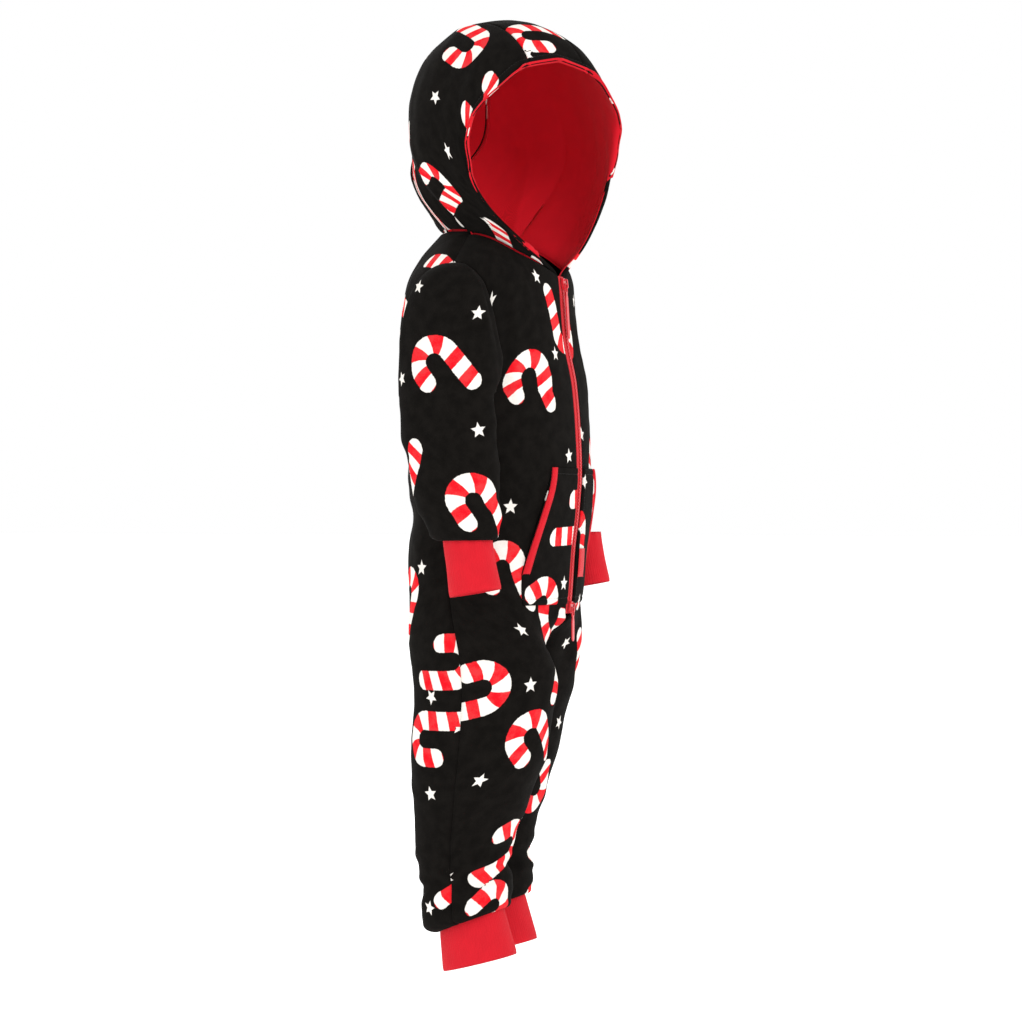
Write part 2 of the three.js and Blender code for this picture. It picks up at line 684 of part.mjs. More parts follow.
function material(kind) {
  return new THREE.MeshStandardMaterial(colours[kind]);
}

// A closed cloth piece: its outer face, the same face moved in by the wall, and its rims
function clothPiece(name, kind, at, grid, thick, turned, { closed = false, inset = 0 } = {}) {
  const [acrossSteps, downSteps] = grid;
  const small = 1e-4;
  const across = acrossSteps.length;
  const outer = [];
  const inner = [];
  const [low, high] = [acrossSteps[0], acrossSteps[across - 1]];
  const [top, bottom] = [downSteps[0], downSteps[downSteps.length - 1]];
  for (const v of downSteps) {
    for (const u of acrossSteps) {
      const left = closed ? u - small : Math.max(low, u - small);
      const right = closed ? u + small : Math.min(high, u + small);
      const alongU = at(right, v).sub(at(left, v));
      const alongV = at(u, Math.min(bottom, v + small)).sub(at(u, Math.max(top, v - small)));
      const normal = alongU.cross(alongV).normalize();
      if (turned) normal.negate();
      const point = at(u, v).addScaledVector(normal, -inset);
      outer.push(point);
      inner.push(point.clone().addScaledVector(normal, -thick));
    }
  }
  const triangles = [];
  const count = outer.length;
  const quad = (a, b, c, d) => triangles.push(a, b, c, a, c, d);
  const cells = closed ? across : across - 1;
  const rows = downSteps.length - 1;
  for (let j = 0; j < rows; j += 1) {
    for (let i = 0; i < cells; i += 1) {
      const a = j * across + i;
      const b = j * across + ((i + 1) % across);
      const c = b + across;
      const d = a + across;
      quad(a, b, c, d);
      quad(count + a, count + d, count + c, count + b);
    }
  }
  for (let i = 0; i < cells; i += 1) {
    const a = i;
    const b = (i + 1) % across;
    quad(a, count + a, count + b, b);
    const c = rows * across + a;
    const d = rows * across + b;
    quad(c, d, count + d, count + c);
  }
  if (!closed) {
    for (let j = 0; j < rows; j += 1) {
      const a = j * across;
      const b = a + across;
      quad(a, b, count + b, count + a);
      const c = a + across - 1;
      const d = b + across - 1;
      quad(c, count + c, count + d, d);
    }
  }
  return solidMesh(name, kind, [...outer, ...inner], triangles);
}

function solidMesh(name, kind, points, triangles) {
  let volume = 0;
  for (let i = 0; i < triangles.length; i += 3) {
    const [a, b, c] = [0, 1, 2].map((k) => points[triangles[i + k]]);
    volume += a.dot(b.clone().cross(c));
  }
  if (volume < 0) {
    for (let i = 0; i < triangles.length; i += 3) {
      [triangles[i + 1], triangles[i + 2]] = [triangles[i + 2], triangles[i + 1]];
    }
  }
  const geometry = new THREE.BufferGeometry();
  const flat = points.flatMap((p) => [p.x, p.y, p.z]);
  geometry.setAttribute("position", new THREE.Float32BufferAttribute(flat, 3));
  geometry.setIndex(triangles);
  geometry.computeVertexNormals();
  const mesh = new THREE.Mesh(geometry, material(kind));
  mesh.name = name;
  return mesh;
}

const steps = (count, low = 0, high = 1) =>
  Array.from({ length: count + 1 }, (_, i) => mix(low, high, i / count));
const ringSteps = (count) => Array.from({ length: count }, (_, i) => i / count);
const heightStep = (z) => 1 + (z - underarmHeight) / (hemRollTop - underarmHeight);

const upperRows = [0, 0.012, 0.05, 0.11, 0.2, 0.32, 0.45, 0.58, 0.7, 0.8, 0.9, 1];
const lowerHeights = [
  -192, -230, -268, -305, -342, -372, -392, -402, -414, -428, -443, -458, -476, -504, -537,
  -570, -605, -638, -664, -680, -695, -707, -714, -725, -736,
];
const zipEndRow = heightStep(zipBottom);
const bodyRows = [...upperRows, ...lowerHeights.map(heightStep), 2, 2.4, 2.75, 3];
const sleeveRows = [...upperRows.slice(1), 1.14, 1.32, 1.52, 1.72, 1.86, 2, 2.45, 3];
const hoodRows = [
  openingTurn, 8.9, ...neckStops.slice(1, 8), 96.42, 102.84, 109.26, 115.68, 122.1, 128.52,
  134.94, napeTurn,
];
const liningRows = [openingTurn - liningShows, ...hoodRows.slice(1)];

const group = new THREE.Group();
group.name = "onesie";

const sides = [
  { side: -1, word: "right" },
  { side: 1, word: "left" },
];
const faces = [
  { face: -1, word: "front" },
  { face: 1, word: "back" },
];

for (const { side, word } of sides) {
  for (const { face, word: panel } of faces) {
    const at = (u, v) => bodyPoint(side, face, u, v);
    const grid = [steps(12), bodyRows];
    group.add(clothPiece(`${panel}_${word}`, "fleece", at, grid, wall, side * face < 0));
  }

  const sleeveAt = (u, v) => sleevePoint(side, u, v);
  group.add(
    clothPiece(`sleeve_${word}`, "fleece", sleeveAt, [steps(18), sleeveRows], wall, side > 0),
  );

  const wristAt = (u, v) => {
    const z = mix(wristTop, wristBottom, v);
    return cuffPoint(wrist, side, u * 2 * Math.PI, z, setBackOf(side, wrist, "z", z));
  };
  const wristGrid = [ringSteps(18), [0, 0.27, 0.62, 1]];
  group.add(
    clothPiece(`wrist_cuff_${word}`, "rib", wristAt, wristGrid, ribWall, side > 0, {
      closed: true,
    }),
  );

  const setBack = setBackOf(side, leg, "z", ankleTop);
  const ankleAt = (u, v) =>
    cuffPoint(ankle, side, u * 2 * Math.PI, mix(ankleTop, ankleBottom, v), setBack);
  const ankleGrid = [ringSteps(24), [0, 0.33, 0.67, 1]];
  group.add(
    clothPiece(`ankle_cuff_${word}`, "rib", ankleAt, ankleGrid, ribWall, side > 0, {
      closed: true,
    }),
  );

  const hoodAt = (u, v) => hoodSidePoint(side, v, u);
  group.add(clothPiece(`hood_${word}`, "fleece", hoodAt, [steps(9), hoodRows], wall, side < 0));
  group.add(
    clothPiece(
      `hood_lining_${word}`,
      "lining",
      hoodAt,
      [steps(9), liningRows],
      liningWall,
      side < 0,
      { inset: wall + liningGap },
    ),
  );
}

const stripAt = (u, v) => hoodStripPoint(v, u);
const stripSteps = steps(6, -1, 1);
group.add(clothPiece("hood_centre", "fleece", stripAt, [stripSteps, hoodRows], wall, false));
group.add(
  clothPiece(
    "hood_lining_centre",
    "lining",
    stripAt,
    [stripSteps, liningRows],
    liningWall,
    false,
    { inset: wall + liningGap },
  ),
);

// Zip tapes fill the space between the fronts
for (const { side, word } of sides) {
  const tapeAt = (u, v) => {
    const edge = bodyPoint(side, -1, 0, v);
    edge.x = side * mix(seamGap / 2, Math.abs(edge.x) - seamGap, u);
    return edge;
  };
  const tapeRows = bodyRows.filter((v) => v <= zipEndRow + 1e-6);
  const tapeGrid = [[0, 1], tapeRows];
  group.add(clothPiece(`zip_tape_${word}`, "tape", tapeAt, tapeGrid, tapeWall, side > 0));
}

// Patch pockets with a slanted opening, their bindings and the plain woven tab
const pocketEdge = (z) =>
  mix(pocketTopEdge, pocketSideEdge, limit((z - pocketTop) / (pocketSlantEnd - pocketTop), 0, 1));
const pocketStart = zipHalfWidth + 1.5;
const slantEndShare = (pocketSlantEnd - pocketTop) / (pocketBottom - pocketTop);
const pocketRows = [0, 0.13, 0.26, 0.39, 0.52, 0.65, slantEndShare, 0.88, 1];
for (const { side, word } of sides) {
  const pocketAt = (u, v) => {
    const z = mix(pocketTop, pocketBottom, v);
    return onFront(side, mix(pocketStart, pocketEdge(z), u), z, laidOn + pocketWall);
  };
  const pocketGrid = [steps(8), pocketRows];
  group.add(
    clothPiece(`pocket_${word}`, "fleece", pocketAt, pocketGrid, pocketWall, side > 0),
  );

  const bindingAt = (u, v) => {
    const z = mix(pocketTop, pocketBottom, v);
    const x = pocketEdge(z) - bindingWidth * (1 - u);
    return onFront(side, x, z, laidOn + pocketWall + seamGap + bindingWall);
  };
  const bindingRows = pocketRows.filter((v) => v <= slantEndShare + 1e-6);
  const bindingGrid = [steps(2), bindingRows];
  group.add(
    clothPiece(`pocket_binding_${word}`, "rib", bindingAt, bindingGrid, bindingWall, side > 0),
  );
}
const labelAt = (u, v) =>
  onFront(
    1,
    mix(labelStart, labelStart + labelWidth, u),
    mix(labelTop, labelTop - labelDrop, v),
    laidOn + pocketWall + laidOn + labelWall,
  );
group.add(clothPiece("label_tab", "tape", labelAt, [steps(3), steps(3)], labelWall, true));

// Closed outline from corner pairs, with a hole if one is given
function outline(corners, hole) {
  const shape = new THREE.Shape(corners.map(([a, b]) => new THREE.Vector2(a, b)));
  if (hole) shape.holes.push(new THREE.Path(hole.map(([a, b]) => new THREE.Vector2(a, b))));
  return shape;
}

function manifoldOf(geometry) {
  const bare = new THREE.BufferGeometry();
  bare.setAttribute("position", geometry.getAttribute("position"));
  const merged = mergeVertices(bare, 1e-3);
  const mesh = new kernel.Mesh({
    numProp: 3,
    vertProperties: merged.attributes.position.array,
    triVerts: new Uint32Array(merged.index.array),
  });
  return new kernel.Manifold(mesh);
}

function geometryOf(manifold) {
  const mesh = manifold.getMesh();
  const geometry = new THREE.BufferGeometry();
  const positions = new THREE.BufferAttribute(new Float32Array(mesh.vertProperties), 3);
  geometry.setAttribute("position", positions);
  geometry.setIndex(new THREE.BufferAttribute(new Uint32Array(mesh.triVerts), 1));
  geometry.computeVertexNormals();
  return geometry;
}

// Slider: a plate on the tapes and a narrow bridge over the pull's bar
function sliderGeometry() {
  const plate = new THREE.ExtrudeGeometry(
    outline([
      [-2.6, -6.5],
      [2.6, -6.5],
      [4.6, -3.5],
      [4.8, 4.2],
      [3, 6.5],
      [-3, 6.5],
      [-4.8, 4.2],
      [-4.6, -3.5],
    ]),
    { depth: plateThick, bevelEnabled: false },
  ).rotateX(Math.PI / 2);
  const sideways = new THREE.Matrix4().makeBasis(
    new THREE.Vector3(0, -1, 0),
    new THREE.Vector3(0, 0, 1),
    new THREE.Vector3(-1, 0, 0),
  );
  const bridge = new THREE.ExtrudeGeometry(
    outline(
      [
        [2, -5.3],
        [5.4, -5.3],
        [6.4, -4.2],
        [6.4, 4.2],
        [5.4, 5.3],
        [2, 5.3],
      ],
      [
        [2.4, -3.7],
        [2.4, 3.7],
        [5.2, 3.7],
        [5.2, -3.7],
      ],
    ),
    { depth: bridgeWidth, bevelEnabled: false },
  )
    .applyMatrix4(sideways)
    .translate(bridgeWidth / 2, 0, 0);
  return geometryOf(manifoldOf(plate).add(manifoldOf(bridge)));
}

// Pull: a loop round the bridge and a flat tab that hangs from it
function pullGeometry(length) {
  const neck = -11.5;
  const half = 3.4;
  const round = steps(6, 0, Math.PI).map((turn) => [
    -half * Math.cos(turn),
    -length + half - half * Math.sin(turn),
  ]);
  const shape = outline(
    [
      [-2.6, 0.7],
      [-3.4, 0],
      [-3.4, -8.6],
      [-2, neck],
      [-half, neck - 4],
      ...round,
      [half, neck - 4],
      [2, neck],
      [3.4, -8.6],
      [3.4, 0],
      [2.6, 0.7],
    ],
    [
      [-2, -0.7],
      [2, -0.7],
      [2, -9],
      [-2, -9],
    ],
  );
  return new THREE.ExtrudeGeometry(shape, { depth: pullThick, bevelEnabled: false })
    .rotateX(Math.PI / 2)
    .translate(0, pullThick / 2, 0);
}

for (const { word, height, length, lean } of sliders) {
  const above = onFront(1, seamGap, height + 4, 0);
  const below = onFront(1, seamGap, height - 4, 0);
  const slope = Math.atan2(below.y - above.y, above.z - below.z);
  const seat = new THREE.Group();
  seat.position.set(0, (above.y + below.y) / 2, height);
  seat.rotation.x = slope;
  const slider = new THREE.Mesh(sliderGeometry(), material("slider"));
  slider.name = `slider_${word}`;
  slider.position.y = -sliderGap;
  const pull = new THREE.Mesh(pullGeometry(length), material("slider"));
  pull.name = `pull_${word}`;
  pull.position.y = -sliderGap - pullAhead;
  pull.rotation.x = lean - slope;
  seat.add(slider, pull);
  group.add(seat);
}

export default group;
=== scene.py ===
import math
import random

import bmesh
import bpy
import numpy as np
from mathutils import Matrix, Vector


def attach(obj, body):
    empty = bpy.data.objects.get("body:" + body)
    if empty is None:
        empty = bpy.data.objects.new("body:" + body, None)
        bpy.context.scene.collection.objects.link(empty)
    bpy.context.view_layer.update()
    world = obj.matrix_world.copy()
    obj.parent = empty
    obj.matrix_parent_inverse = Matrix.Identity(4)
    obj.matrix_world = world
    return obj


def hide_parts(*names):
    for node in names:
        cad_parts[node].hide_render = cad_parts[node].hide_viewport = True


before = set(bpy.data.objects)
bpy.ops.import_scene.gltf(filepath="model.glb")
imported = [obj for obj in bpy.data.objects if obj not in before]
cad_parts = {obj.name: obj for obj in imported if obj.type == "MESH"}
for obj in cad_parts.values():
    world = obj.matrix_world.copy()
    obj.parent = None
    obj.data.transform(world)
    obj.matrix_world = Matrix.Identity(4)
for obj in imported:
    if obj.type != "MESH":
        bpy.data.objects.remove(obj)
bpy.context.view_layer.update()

# A child's hooded onesie in printed fleece, worn and standing. The cut below is in millimetres.
# The front faces -Y, the wearer's right is -X and height 0 is at the shoulders.

# Cloth
fleece_wall = 1.6
lining_wall = 1.2
rib_wall = 2.0
seam_gap = 0.3
hood_seam_gap = 0.6
side_gap_turn = 0.0015
sleeve_gap_turn = 0.0045
laid_on = 0.8
lining_gap = 0.7

# Body
neck_half_width = 78
neck_side_height = 21
shoulder_tip_x = 125
shoulder_tip_height = -13
ridge_y = 8
underarm_height = -155
side_seam_y = 8
roundness = 2.15
leg_split_top = -345
crotch_height = -458
thigh_drape = 34
hem_roll_top = -748
hem_roll_drop = 13
hem_rise = 30
ankle_top = -746
ankle_bottom = -801
sleeve_hem_top = -310
sleeve_hem_drop = 11
wrist_top = -312
wrist_bottom = -380

# Zip, hood, pocket and tab
zip_half_width = 9
zip_bottom = -402
zip_taper = 10
tape_wall = 1.2
hood_centre = (0, -18.6)
hood_yaw = math.radians(-37)
hood_twist_height = 125
opening_bow = 25
strip_half_width = 37
opening_turn = 6.63
hood_front_span = 62
nape_turn = 141.36
hoop_roundness = 0.84
pocket_top = -239
pocket_slant_end = -356
pocket_bottom = -391
pocket_top_edge = 70
pocket_side_edge = 100
pocket_wall = 1.4
binding_width = 8.5
binding_wall = 1.2
label_start = 11.5
label_width = 24
label_top = -329
label_drop = 32
label_wall = 1.0


def cut_table(columns, *rows):
    """Rows of a cutting table, kept by column name."""
    return dict(zip(columns.split(), np.array(rows, float).T))


torso = cut_table(
    "z front back half",
    (60, -52, 56, 122), (28, -58, 68, 124), (0, -66, 83, 127), (-26, -74, 94, 131),
    (-60, -77, 102, 135), (-95, -80, 105, 138), (-146, -90, 99, 140), (-190, -94, 96, 140),
    (-240, -96, 92, 139), (-288, -93, 89, 138), (-330, -88, 93, 140), (-373, -85, 92, 143),
    (-410, -82, 88, 144), (-450, -80, 86, 145),
)
leg = cut_table(
    "z x y half depth set_back",
    (-340, 71.5, 2, 71.35, 84, 0), (-380, 71.5, 1, 71.35, 83, 3),
    (-415, 71.5, -2, 71.35, 82, 11), (-458, 71.5, -6, 71.1, 81.3, 24),
    (-484, 72.4, -7.5, 69.8, 80.8, 31), (-515, 72, -5, 67, 78.5, 34), (-560, 71, 0, 64, 75.5, 34),
    (-595, 69, 6, 60, 67.5, 30), (-632, 66.5, 11, 56, 62, 26), (-668, 64, 16, 52, 55.5, 21),
    (-680, 63, 17, 50, 52.5, 20), (-695, 62.5, 17.5, 50, 51.5, 20), (-708, 62, 18.5, 46, 45, 19),
    (-714, 61.8, 17.5, 46.5, 46, 19), (-727, 61.5, 16.5, 49.5, 50.5, 19),
    (-740, 61, 16.5, 49.5, 50, 19), (-760, 61, 16, 48, 48.5, 19),
)
ankle = cut_table(
    "z x y half depth rise",
    (-738, 61, 14, 35, 34, 30), (-764, 60.5, 9.5, 35.5, 36.5, 30), (-801, 60, 1, 37.5, 42, 22),
)
wrist = cut_table(
    "z x y half depth rise set_back",
    (-304, 186, -29, 24, 27, 0, 33), (-340, 186, -35, 24, 27, 3, 36),
    (-380, 186, -41, 25.5, 28.5, 10, 38),
)
cap = cut_table(
    "down crest crest_z depth y wrap set_back",
    (0.012, 127, -14, 12, 8, 90, 0), (0.05, 141, -18, 24, 8, 90, 0), (0.11, 154, -26, 36, 8, 88, 1),
    (0.2, 166, -41, 46, 7, 84, 3), (0.32, 176, -62, 52, 6, 76, 6), (0.45, 185, -88, 54.5, 4, 64, 10),
    (0.58, 192, -112, 55.5, 2, 54, 12.5), (0.7, 198, -133, 55.5, 0, 46, 14.5),
    (0.8, 203, -148, 55, -1, 38, 16), (0.9, 207, -163, 54.5, -3, 26, 17), (1, 210, -178, 54, -4, 3, 18),
)
sleeve = cut_table(
    "z x y half depth lean set_back",
    (-155, 175, -4, 35, 54, 23, 18), (-206, 178, -8, 38, 52, 10, 22), (-243, 180, -14, 38, 49.5, 4, 25),
    (-279, 183, -19.5, 36, 46.5, 0, 30), (-297, 185, -24.5, 34, 42.5, 0, 32),
    (-310, 185.5, -27, 31, 38.5, 0, 33), (-330, 186, -29, 28, 33, 0, 34),
)
neckline = cut_table(
    "turn z", (0, -25), (30, -15), (60, -1), (90, 21), (120, 26), (150, 28), (180, 28),
)
armhole = cut_table(
    "down x z",
    (0, 125, -13), (0.2, 122.5, -41), (0.45, 121, -80), (0.7, 121.5, -114),
    (0.85, 128, -137), (0.93, 134.5, -148), (1, 140, -155),
)
face_opening = cut_table(
    "down z half ahead",
    (0, 212, 0, 90), (0.14, 200, 49, 86.5), (0.22, 184, 71, 81.5), (0.31, 162, 92, 71),
    (0.38, 142, 101, 61), (0.45, 120, 101, 54), (0.53, 96, 96, 52), (0.65, 63, 88, 50),
    (0.77, 31, 77, 49), (0.87, 6, 59, 50), (1, -22, 9.5, 54),
)
hoops = cut_table(
    "turn ahead z half",
    (6.63, 90, 212, 100), (18, 77, 231, 104), (30, 59, 248, 107), (42, 37, 260, 109),
    (54, 12, 267, 110), (66, -14, 270, 113), (78, -40, 269, 114), (90, -70, 262, 109),
    (97, -90, 253, 102), (103, -107, 239, 95), (109, -119, 216, 87), (116, -123, 180, 79),
    (122, -119, 143, 73), (129, -112, 104, 68), (135, -103, 67, 62), (141.36, -96, 28, 54),
)

# Large soft folds of body and legs, the same as in the solids
large_folds = cut_table(
    "side angle z length width slant height",
    (0, 35, -250, 60, 26, 55, 2.5), (0, 62, -215, 70, 20, 25, 2.5), (-1, 30, -120, 55, 20, 18, 2.2),
    (1, 24, -130, 60, 22, -14, 2), (0, 150, -205, 30, 24, 80, -3), (0, 140, -300, 32, 26, 82, -3),
    (-1, 160, -250, 34, 22, 86, 3), (1, 160, -255, 34, 24, -84, 2.5),
    (-1, 60, -440, 70, 24, 40, 3), (1, 45, -450, 75, 26, -30, 3),
    (-1, 120, -480, 60, 26, -35, -3), (1, 125, -490, 62, 26, 32, -3),
    (-1, 75, -590, 55, 22, 50, 2.5), (1, 80, -600, 58, 22, -46, 2.5),
    (0, 165, -600, 50, 20, 60, -2.5), (-1, 40, -650, 36, 18, 70, -2.5),
    (1, 50, -652, 34, 18, -68, -2.5),
)


def read(cut, column, at, key="z"):
    """Smooth reading of a cutting table between its rows."""
    keys, values = cut[key], cut[column]
    if keys[0] > keys[-1]:
        keys, values = keys[::-1], values[::-1]
    spans = np.diff(keys)
    slopes = np.diff(values) / spans
    product = slopes[:-1] * slopes[1:]
    total = slopes[:-1] + slopes[1:]
    inner = np.where(product > 0, 2 * product / np.where(total == 0, 1, total), 0)
    lean = np.concatenate([slopes[:1], inner, slopes[-1:]])
    at = np.asarray(at, float)
    cell = np.clip(np.searchsorted(keys, at) - 1, 0, len(spans) - 1)
    share = (at - keys[cell]) / spans[cell]
    s = np.clip(share, 0, 1)
    value = (
        values[cell] * (2 * s**3 - 3 * s**2 + 1)
        + lean[cell] * spans[cell] * (s**3 - 2 * s**2 + s)
        + values[cell + 1] * (3 * s**2 - 2 * s**3)
        + lean[cell + 1] * spans[cell] * (s**3 - s**2)
    )
    return value + (share - s) * spans[cell] * slopes[cell]


def mix(a, b, share):
    return a + (b - a) * share


def ease(low, high, value):
    share = np.clip((value - low) / (high - low), 0, 1)
    return share * share * (3 - 2 * share)


def power(value, exponent):
    return np.sign(value) * np.abs(value) ** exponent


def set_back_of(side, rows, at, key="z"):
    """How far the left limb stands behind the right one."""
    return read(rows, "set_back", at, key) if side > 0 else 0 * np.asarray(at, float)


def points(x, y, z):
    return np.stack(np.broadcast_arrays(x, y, z), axis=-1).astype(float)


def fold_height(rows, side, angle, z, arm=105):
    """How far soft folds push the cloth out at an angle round it and a height."""
    total = np.zeros(np.broadcast(angle, z).shape)
    for k in range(len(rows["z"])):
        row = {name: column[k] for name, column in rows.items()}
        if row["side"] not in (0, side):
            continue
        around = np.radians(angle - row["angle"]) * arm
        up = z - row["z"]
        turn = math.radians(row["slant"])
        along = up * math.cos(turn) + around * math.sin(turn)
        across = around * math.cos(turn) - up * math.sin(turn)
        total += row["height"] * np.exp(
            -((along / row["length"]) ** 2) - (across / row["width"]) ** 2
        )
    return total


def ridge_height(x):
    slope = (neck_side_height - shoulder_tip_height) / (shoulder_tip_x - neck_half_width)
    return neck_side_height - (x - neck_half_width) * slope


def torso_y(face, x, z):
    half = read(torso, "half", z)
    centre = read(torso, "front" if face < 0 else "back", z)
    across = np.clip(np.abs(x) / half, 0, 1)
    curve = (1 - across**roundness) ** (1 / roundness)
    below = np.maximum(0, ridge_height(np.abs(x)) - z)
    bend = mix(60, 30, np.clip((np.abs(x) - neck_half_width) / 47, 0, 1))
    turn = 1 - np.clip(1 - below / bend, 0, 1) ** 2
    return side_seam_y + (centre - side_seam_y) * curve * np.sqrt(turn)


def neck_point(side, turn):
    x = neck_half_width * np.sin(np.radians(turn))
    z = read(neckline, "z", turn, "turn")
    y = np.where(turn <= 90, torso_y(-1, x, z), torso_y(1, x, z))
    return points(side * x, y, z)


def centre_x(face, z):
    if face > 0:
        return seam_gap / 2 + 0 * z
    return mix(zip_half_width, seam_gap / 2, ease(zip_bottom, zip_bottom - zip_taper, z))


def torso_point(side, face, x, z):
    half = read(torso, "half", z)
    turn = np.degrees(np.arcsin(np.clip(x / half, 0, 1)))
    angle = turn if face < 0 else 180 - turn
    calm = ease(-30, -90, z) * ease(0, 12, ridge_height(x) - z)
    push = fold_height(large_folds, side, angle, z) * calm * (1 - ease(0.8, 1, x / half))
    y = torso_y(face, x, z)
    ridge_gap = np.where(np.abs(y - ridge_y) < seam_gap / 2, face * seam_gap / 2, 0)
    return points(side * x, y + face * push + ridge_gap, z)


neck_share = 7 / 12


def upper_point(side, face, u, v):
    """Upper body, from neckline and shoulder down to the underarm."""
    start_turn = math.degrees(math.asin(float(centre_x(face, 0.0)) / neck_half_width))

    def top_edge(a):
        turn = mix(start_turn, 90, np.minimum(a, neck_share) / neck_share)
        seam = read(neckline, "z", turn if face < 0 else 180 - turn, "turn")
        share = (a - neck_share) / (1 - neck_share)
        on_neck = a <= neck_share
        x = np.where(
            on_neck,
            neck_half_width * np.sin(np.radians(turn)),
            mix(neck_half_width, shoulder_tip_x, share),
        )
        z = np.where(on_neck, seam, mix(neck_side_height, shoulder_tip_height, share))
        return np.stack([x, z])

    def bottom_edge(a):
        half = float(read(torso, "half", underarm_height))
        start = math.asin((float(centre_x(face, 0.0)) / half) ** (roundness / 2))
        x = half * np.sin(mix(start, math.pi / 2, a)) ** (2 / roundness)
        return np.stack([x, underarm_height + 0 * x])

    zero, one = np.zeros_like(u), np.ones_like(u)
    centre = np.stack([float(centre_x(face, 0.0)) + zero, mix(top_edge(zero)[1], underarm_height, v)])
    arm = np.stack([read(armhole, "x", v, "down"), read(armhole, "z", v, "down")])
    place = (
        mix(top_edge(u), bottom_edge(u), v)
        + mix(centre, arm, u)
        - mix(mix(top_edge(zero), top_edge(one), u), mix(bottom_edge(zero), bottom_edge(one), u), v)
    )
    return torso_point(side, face, place[0], place[1])


def leg_point(side, face, turn, z):
    seamed = mix(ease(0, 0.4, turn / math.pi), 1, ease(crotch_height, crotch_height - 45, z))
    back = set_back_of(side, leg, z) * seamed
    x = read(leg, "x", z) - read(leg, "half", z) * power(np.cos(turn), 2 / roundness)
    y = read(leg, "y", z) + back + face * read(leg, "depth", z) * np.sin(turn) ** (2 / roundness)
    return x, y


def lower_point(side, face, u, z):
    """Panel below the underarm, which parts into a leg."""
    half = read(torso, "half", z)
    depth = read(torso, "front" if face < 0 else "back", z) - side_seam_y
    start = np.arcsin((centre_x(face, z) / half) ** (roundness / 2))
    turn = mix(start, math.pi / 2 - side_gap_turn, u)
    torso_x_ = half * np.sin(turn) ** (2 / roundness)
    torso_y_ = side_seam_y + depth * np.cos(turn) ** (2 / roundness)
    leg_turn = mix(side_gap_turn, math.pi - side_gap_turn, u)
    leg_x, leg_y = leg_point(side, face, leg_turn, z)
    settled = crotch_height - thigh_drape * np.sin(math.pi * np.clip(u / 0.6, 0, 1)) ** 2
    split = mix(ease(zip_bottom - 2, settled, z), ease(leg_split_top, settled, z), ease(0, 0.55, u))
    angle = u * 90 if face < 0 else 180 - u * 90
    seams = ease(0, 0.2, u) * ease(1, 0.8, u)
    push = fold_height(large_folds, side, angle, z) * seams * (1 - ease(-672, -690, z))
    lean_x = mix(np.sin(turn), -np.cos(leg_turn), split)
    lean_y = mix(np.cos(turn), np.sin(leg_turn), split)
    x = mix(torso_x_, leg_x, split) + push * lean_x
    y = mix(torso_y_, leg_y, split) + face * push * lean_y
    lift = hem_rise * (0.5 - face * np.sin(leg_turn) / 2) * ease(-560, -730, z)
    return points(side * np.maximum(x, seam_gap / 2), y, z + lift)


def cuff_point(rows, side, turn, z, set_back):
    rise = read(rows, "rise", z)
    x = read(rows, "x", z) - read(rows, "half", z) * np.cos(turn)
    y = read(rows, "y", z) + set_back - read(rows, "depth", z) * np.sin(turn)
    return points(side * x, y, z + rise * (0.5 + np.sin(turn) / 2))


def roll_under(start, cuff, middle, drop, share):
    """Last rows of a leg or sleeve, rolled under to meet the cuff."""
    away = cuff - middle
    away[:, 2] = 0
    away /= np.linalg.norm(away, axis=1, keepdims=True)
    meet = cuff + away * seam_gap
    inward = 1 - np.cos(share * math.pi / 2)
    fall = np.sin(share * math.pi / 2)
    lift = meet[:, 2] - (start[:, 2] - drop)
    return points(
        mix(start[:, 0], meet[:, 0], inward),
        mix(start[:, 1], meet[:, 1], inward),
        start[:, 2] - drop * fall + lift * inward,
    )


def hem_roll_point(side, face, u, share):
    start = lower_point(side, face, u, hem_roll_top + 0 * u)
    meet_z = hem_roll_top - hem_roll_drop + 3
    set_back = float(set_back_of(side, leg, meet_z))
    turn = mix(side_gap_turn, math.pi - side_gap_turn, u)
    cuff = cuff_point(ankle, side, -face * turn, meet_z, set_back)
    middle = np.array([side * read(ankle, "x", meet_z), read(ankle, "y", meet_z) + set_back, 0])
    return roll_under(start, cuff, middle, hem_roll_drop, share)


def in_stretches(u, down, *stretches):
    """Joins the stretches of a piece, each one unit of down long."""
    place = np.zeros((len(u), 3))
    for k, stretch in enumerate(stretches):
        here = (down <= k + 1) & ((down > k) | (k == 0))
        if here.any():
            place[here] = stretch(u[here], down[here] - k)
    return place


def body_point(side, face, u, down):
    return in_stretches(
        u,
        down,
        lambda a, v: upper_point(side, face, a, v),
        lambda a, v: lower_point(side, face, a, mix(underarm_height, hem_roll_top, v)),
        lambda a, v: hem_roll_point(side, face, a, v),
    )


